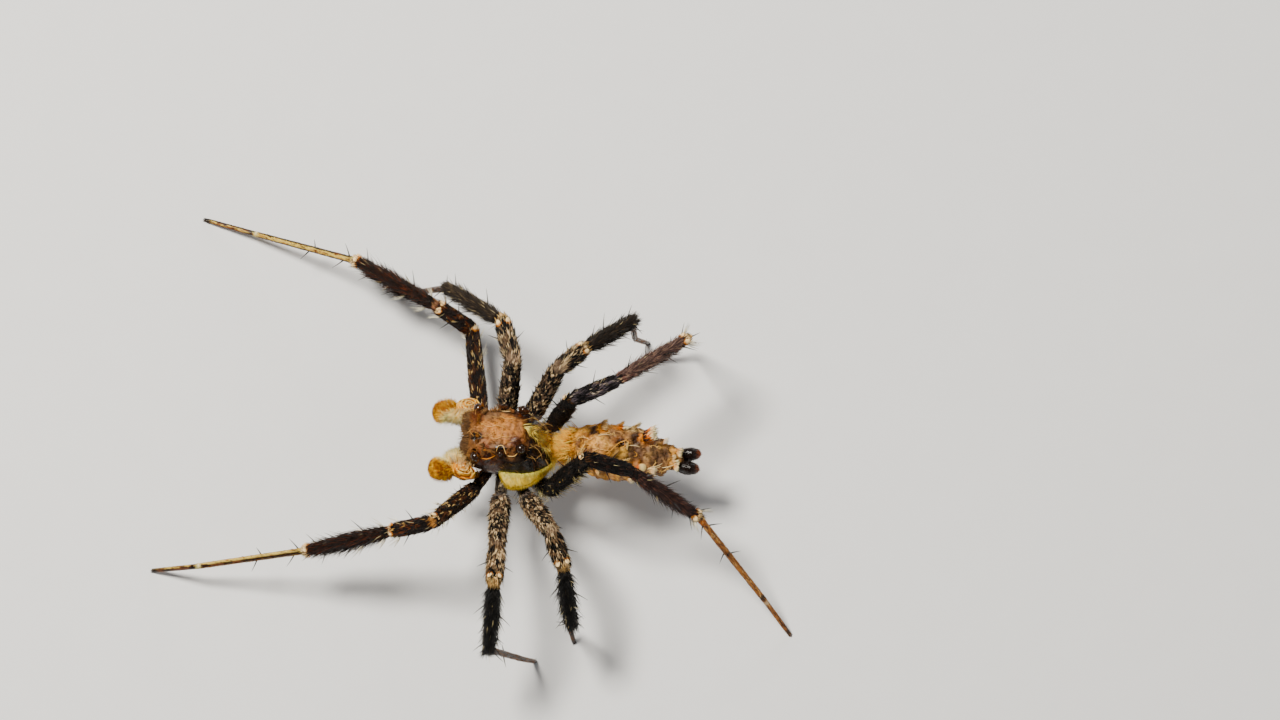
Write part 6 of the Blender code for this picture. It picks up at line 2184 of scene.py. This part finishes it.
def limb_spot(sheet, part, share, degrees):
    """Place, normal, way along and map place on a segment."""
    run = sheet.marks[part] + share * sheet.lengths[part]
    m = sheet.grid.shape[1]
    r = np.array([limb_row(sheet, run)])
    c = np.array([(math.radians(degrees) / TAU * m) % m])
    return (sheet.read(sheet.grid, r, c)[0], unit(sheet.read(sheet.normal, r, c))[0],
            unit(sheet.read(sheet.along, r, c))[0], sheet.map_place(r, c)[0])


def leg_details(sheet):
    """Groups of bristles and small tufts at the joints."""
    rng = rng_for(sheet.name + " details")
    pieces = []
    for part, share, degrees, count, length, spread, width, dark, pale in DETAILS[sheet.number]:
        place, normal, along, spot = limb_spot(sheet, part, share, degrees)
        way = unit(normal * 0.75 + along * 0.65)
        pieces.append(tuft(place - normal * 0.02, normal, way, np.cross(along, normal), count, rng, length,
                           spread, width, (dark, pale), spot, fan=0.5, profile=SCALE, curl=0.2))
    return pieces


def joint_pads(sheet):
    """Smooth cream pads with an orange root on the upper side of some joints."""
    pieces = []
    for part, share, degrees, long, wide in JOINT_PADS[sheet.number]:
        place, normal, along, spot = limb_spot(sheet, part, share, degrees)
        side = np.cross(along, normal)
        pole = np.linspace(0.05, math.pi - 0.05, 12)[:, None]
        angle = (np.arange(20) / 20 * TAU)[None]
        ahead = np.sin(pole) * np.cos(angle)
        grid = place + normal * 0.055 + (ahead * long)[..., None] * unit(along + normal * 0.5)
        grid = grid + (np.sin(pole) * np.sin(angle) * wide)[..., None] * side
        grid = grid + (np.cos(pole) * 0.045 + 0 * angle)[..., None] * normal
        grid = grid + (noise(grid, 0.03, 57)[..., None] - 0.5) * 0.012
        shade = mix(tone(196, 134, 84), tone(250, 222, 178), smooth(ahead, -0.75, 0.0))
        pieces.append(sheet_arrays(Sheet("pad", grid, sheet.tile), shade))
        count = 40
        ahead, aside = ring_places(rng_for(sheet.name + str(degrees)), count)
        roots = place + ahead * along * long + aside * side * wide + normal * 0.02
        ways = unit(normal * 0.7 + along * 0.6 + ahead * along * 0.5 + aside * side * 0.5)
        tips = np.where(ahead < -0.2, tone(190, 126, 76), tone(250, 224, 184))
        pieces.append(locks(roots, ways, normal, 0.09, 0.02, tips * 0.8, tips, spot, profile=SCALE))
    return pieces


def ring_places(rng, count):
    """Places on a ring of radius about 1, as two columns."""
    angle = rng.uniform(0, TAU, count)
    ring = np.stack((np.cos(angle), np.sin(angle)), axis=1) * rng.uniform(0.85, 1.05, (count, 1))
    return ring[:, :1], ring[:, 1:2]


def both_sides(part, share, degrees, *rest):
    """The same row for the two sides of a limb."""
    return (part, share, degrees, *rest), (part, share, -degrees, *rest)


# Pads of the joints: part, share, degrees, half length, half width
MIDDLE_LEG_PADS = both_sides(PATELLA, 0.90, 36, 0.100, 0.072)
JOINT_PADS = {
    1: (*both_sides(PATELLA, 0.93, 38, 0.055, 0.040), (FEMUR, 0.97, 18, 0.09, 0.07),
        (TIBIA, 1.0, 0, 0.085, 0.095), *both_sides(TIBIA, 1.0, 66, 0.085, 0.095)),
    2: MIDDLE_LEG_PADS,
    3: MIDDLE_LEG_PADS,
    4: (*both_sides(TIBIA, 0.94, 42, 0.100, 0.068), (FEMUR, 0.98, -20, 0.06, 0.05)),
}
# Small tufts and bristle groups: part, share, degrees, count, length, spread, width, colours from root to tip
WHITE = (tone(250, 240, 220), tone(250, 240, 220))
BLOB = tone(246, 214, 168)
ORANGE_ROOT = (tone(206, 146, 98), BLOB)
CREAM_END = (BLOB, CREAM)
MIDDLE_LEG_DETAILS = both_sides(PATELLA, 0.93, 35, 50, 0.13, 0.05, 0.045, *ORANGE_ROOT)
DETAILS = {
    1: (
        *both_sides(PATELLA, 0.93, 40, 40, 0.12, 0.06, 0.04, *ORANGE_ROOT),
        (FEMUR, 0.95, 0, 40, 0.12, 0.07, 0.04, *ORANGE_ROOT),
        (TIBIA, 0.97, 0, 60, 0.10, 0.05, 0.04, *CREAM_END),
        *both_sides(TIBIA, 0.97, 120, 40, 0.10, 0.05, 0.04, *CREAM_END),
        (METATARSUS, 0.97, 0, 30, 0.07, 0.03, 0.03, *CREAM_END),
        *both_sides(TIBIA, 0.08, 100, 10, 0.50, 0.05, 0.032, *WHITE),
        *both_sides(TIBIA, 0.34, 110, 8, 0.56, 0.05, 0.032, *WHITE),
        *both_sides(PATELLA, 0.80, 95, 10, 0.44, 0.05, 0.032, *WHITE),
        *both_sides(FEMUR, 0.90, 95, 7, 0.40, 0.07, 0.032, *WHITE),
        *both_sides(FEMUR, 0.70, 95, 6, 0.38, 0.10, 0.032, *WHITE),
    ),
    2: MIDDLE_LEG_DETAILS,
    3: MIDDLE_LEG_DETAILS,
    4: (
        *both_sides(TIBIA, 0.96, 35, 50, 0.13, 0.05, 0.045, *ORANGE_ROOT),
        *both_sides(TIBIA, 0.95, 100, 13, 0.50, 0.06, 0.034, *WHITE),
        *both_sides(COXA, 0.70, 90, 24, 0.30, 0.08, 0.03, tone(120, 110, 90), tone(240, 230, 180)),
    ),
}


def claws(sheet):
    """Two fine claws at the end of a foot."""
    pieces = []
    tip = sheet.joints[-1]
    way = unit(sheet.joints[-1] - sheet.joints[-2])
    flat = unit(np.array((way[0], way[1], 0.0)))
    side = np.array((-flat[1], flat[0], 0.0))
    for hand in (-1, 1):
        root = tip - way * 0.04 + side * hand * 0.03
        steps = np.linspace(0, 1, 6)[:, None]
        points = root + flat * 0.09 * steps + side * hand * 0.02 * steps
        points = points - UPWARD * 0.05 * steps ** 2
        points[:, 2] = np.maximum(points[:, 2], 0.014)
        pieces.append(strand(points, np.linspace(0.012, 0.004, 6), tone(20, 12, 9), (0.5, 0.5), sides=5))
    return pieces


FANG_POINTS = ((0.02, 0.0, 0.06), (0.02, -0.02, -0.04), (0.04, -0.05, -0.11), (0.10, -0.08, -0.14))


def fang(side):
    start = from_prosoma(mirrored(CHELICERA_TIP, side))
    return strand([start + mirrored(p, side) for p in FANG_POINTS], (0.055, 0.045, 0.030, 0.012),
                  tone(40, 12, 8), (0.6, 0.5), sides=10)


for sheet in legs:
    place_piece("coat_" + sheet.name, [leg_coat(sheet)], FUR)
    place_piece("fringe_" + sheet.name, leg_fringes(sheet) + leg_details(sheet) + joint_pads(sheet), FRINGE)
spines = [spine for sheet in legs for spine in leg_spines(sheet)]
place_piece("spines", spines, SPINE)
hooks = [claw for sheet in legs for claw in claws(sheet)]
place_piece("claws", hooks + [fang(1), fang(-1)], SPINE)


# stage, light and camera
def build_stage():
    mesh = bpy.data.meshes.new("floor")
    reach = 0.25
    mesh.from_pydata([(-reach, -reach, 0), (reach, -reach, 0), (reach, reach, 0), (-reach, reach, 0)], [],
                     [(0, 1, 2, 3)])
    floor = bpy.data.objects.new("floor", mesh)
    bpy.context.scene.collection.objects.link(floor)
    material, tree, shader = nodes_of("floor")
    two_tones(tree, shader, 900, 3.0, (0.86, 0.865, 0.87, 1), (0.90, 0.905, 0.91, 1))
    shader.inputs["Roughness"].default_value = 0.85
    mesh.materials.append(material)
    world = bpy.data.worlds.new("studio")
    world.use_nodes = True
    sky = world.node_tree.nodes["Background"]
    sky.inputs["Color"].default_value = (1.0, 0.98, 0.95, 1)
    sky.inputs["Strength"].default_value = 0.06
    bpy.context.scene.world = world


def aim(obj, place, target):
    obj.location = place
    obj.rotation_euler = (Vector(target) - Vector(place)).to_track_quat("-Z", "Y").to_euler()


def add_light(name, place, target, size, power_watts, colour):
    data = bpy.data.lights.new(name, "AREA")
    data.shape = "DISK"
    data.size = size
    data.energy = power_watts
    data.color = colour
    light = bpy.data.objects.new(name, data)
    bpy.context.scene.collection.objects.link(light)
    aim(light, place, target)


def build_lights():
    target = (0.0, 0.0, 0.002)
    add_light("key", (-0.042, 0.020, 0.108), target, 0.035, 0.25, (1.0, 0.95, 0.86))
    add_light("fill", (0.09, -0.05, 0.07), target, 0.08, 0.025, (0.94, 0.96, 1.0))
    add_light("rim", (0.03, 0.10, 0.03), target, 0.05, 0.035, (1.0, 1.0, 1.0))


CAMERA_AZIMUTH = math.radians(3.8)
CAMERA_ELEVATION = math.radians(75)
PIXELS_PER_MM = 38.5
PHOTO_WIDTH = 1280
CAMERA_DISTANCE = 0.8
SENSOR_WIDTH = 36
# The picture's middle: its height over the floor, and how far right and up it lies from the origin
AIM_HEIGHT = 2.55
AIM_RIGHT = 2.078
AIM_UP = 2.208


def build_camera():
    a, e = CAMERA_AZIMUTH, CAMERA_ELEVATION
    right = np.array((math.cos(a), math.sin(a), 0.0))
    up = np.array((-math.sin(a) * math.sin(e), math.cos(a) * math.sin(e), math.cos(e)))
    back = np.array((math.sin(a) * math.cos(e), -math.cos(a) * math.cos(e), math.sin(e)))
    target = (UPWARD * AIM_HEIGHT + AIM_RIGHT * right + AIM_UP * up + SHIFT) * MM
    data = bpy.data.cameras.new("camera")
    camera = bpy.data.objects.new("camera", data)
    bpy.context.scene.collection.objects.link(camera)
    place = target + back * CAMERA_DISTANCE
    turn = Matrix((Vector(right), Vector(up), Vector(back))).transposed().to_4x4()
    turn.translation = Vector(place)
    camera.matrix_world = turn
    data.sensor_width = SENSOR_WIDTH
    data.lens = SENSOR_WIDTH / (PHOTO_WIDTH / PIXELS_PER_MM) * CAMERA_DISTANCE * 1000
    data.clip_start = 0.001
    data.clip_end = 5
    bpy.context.scene.camera = camera


build_stage()
build_lights()
build_camera()

bpy.context.view_layer.update()
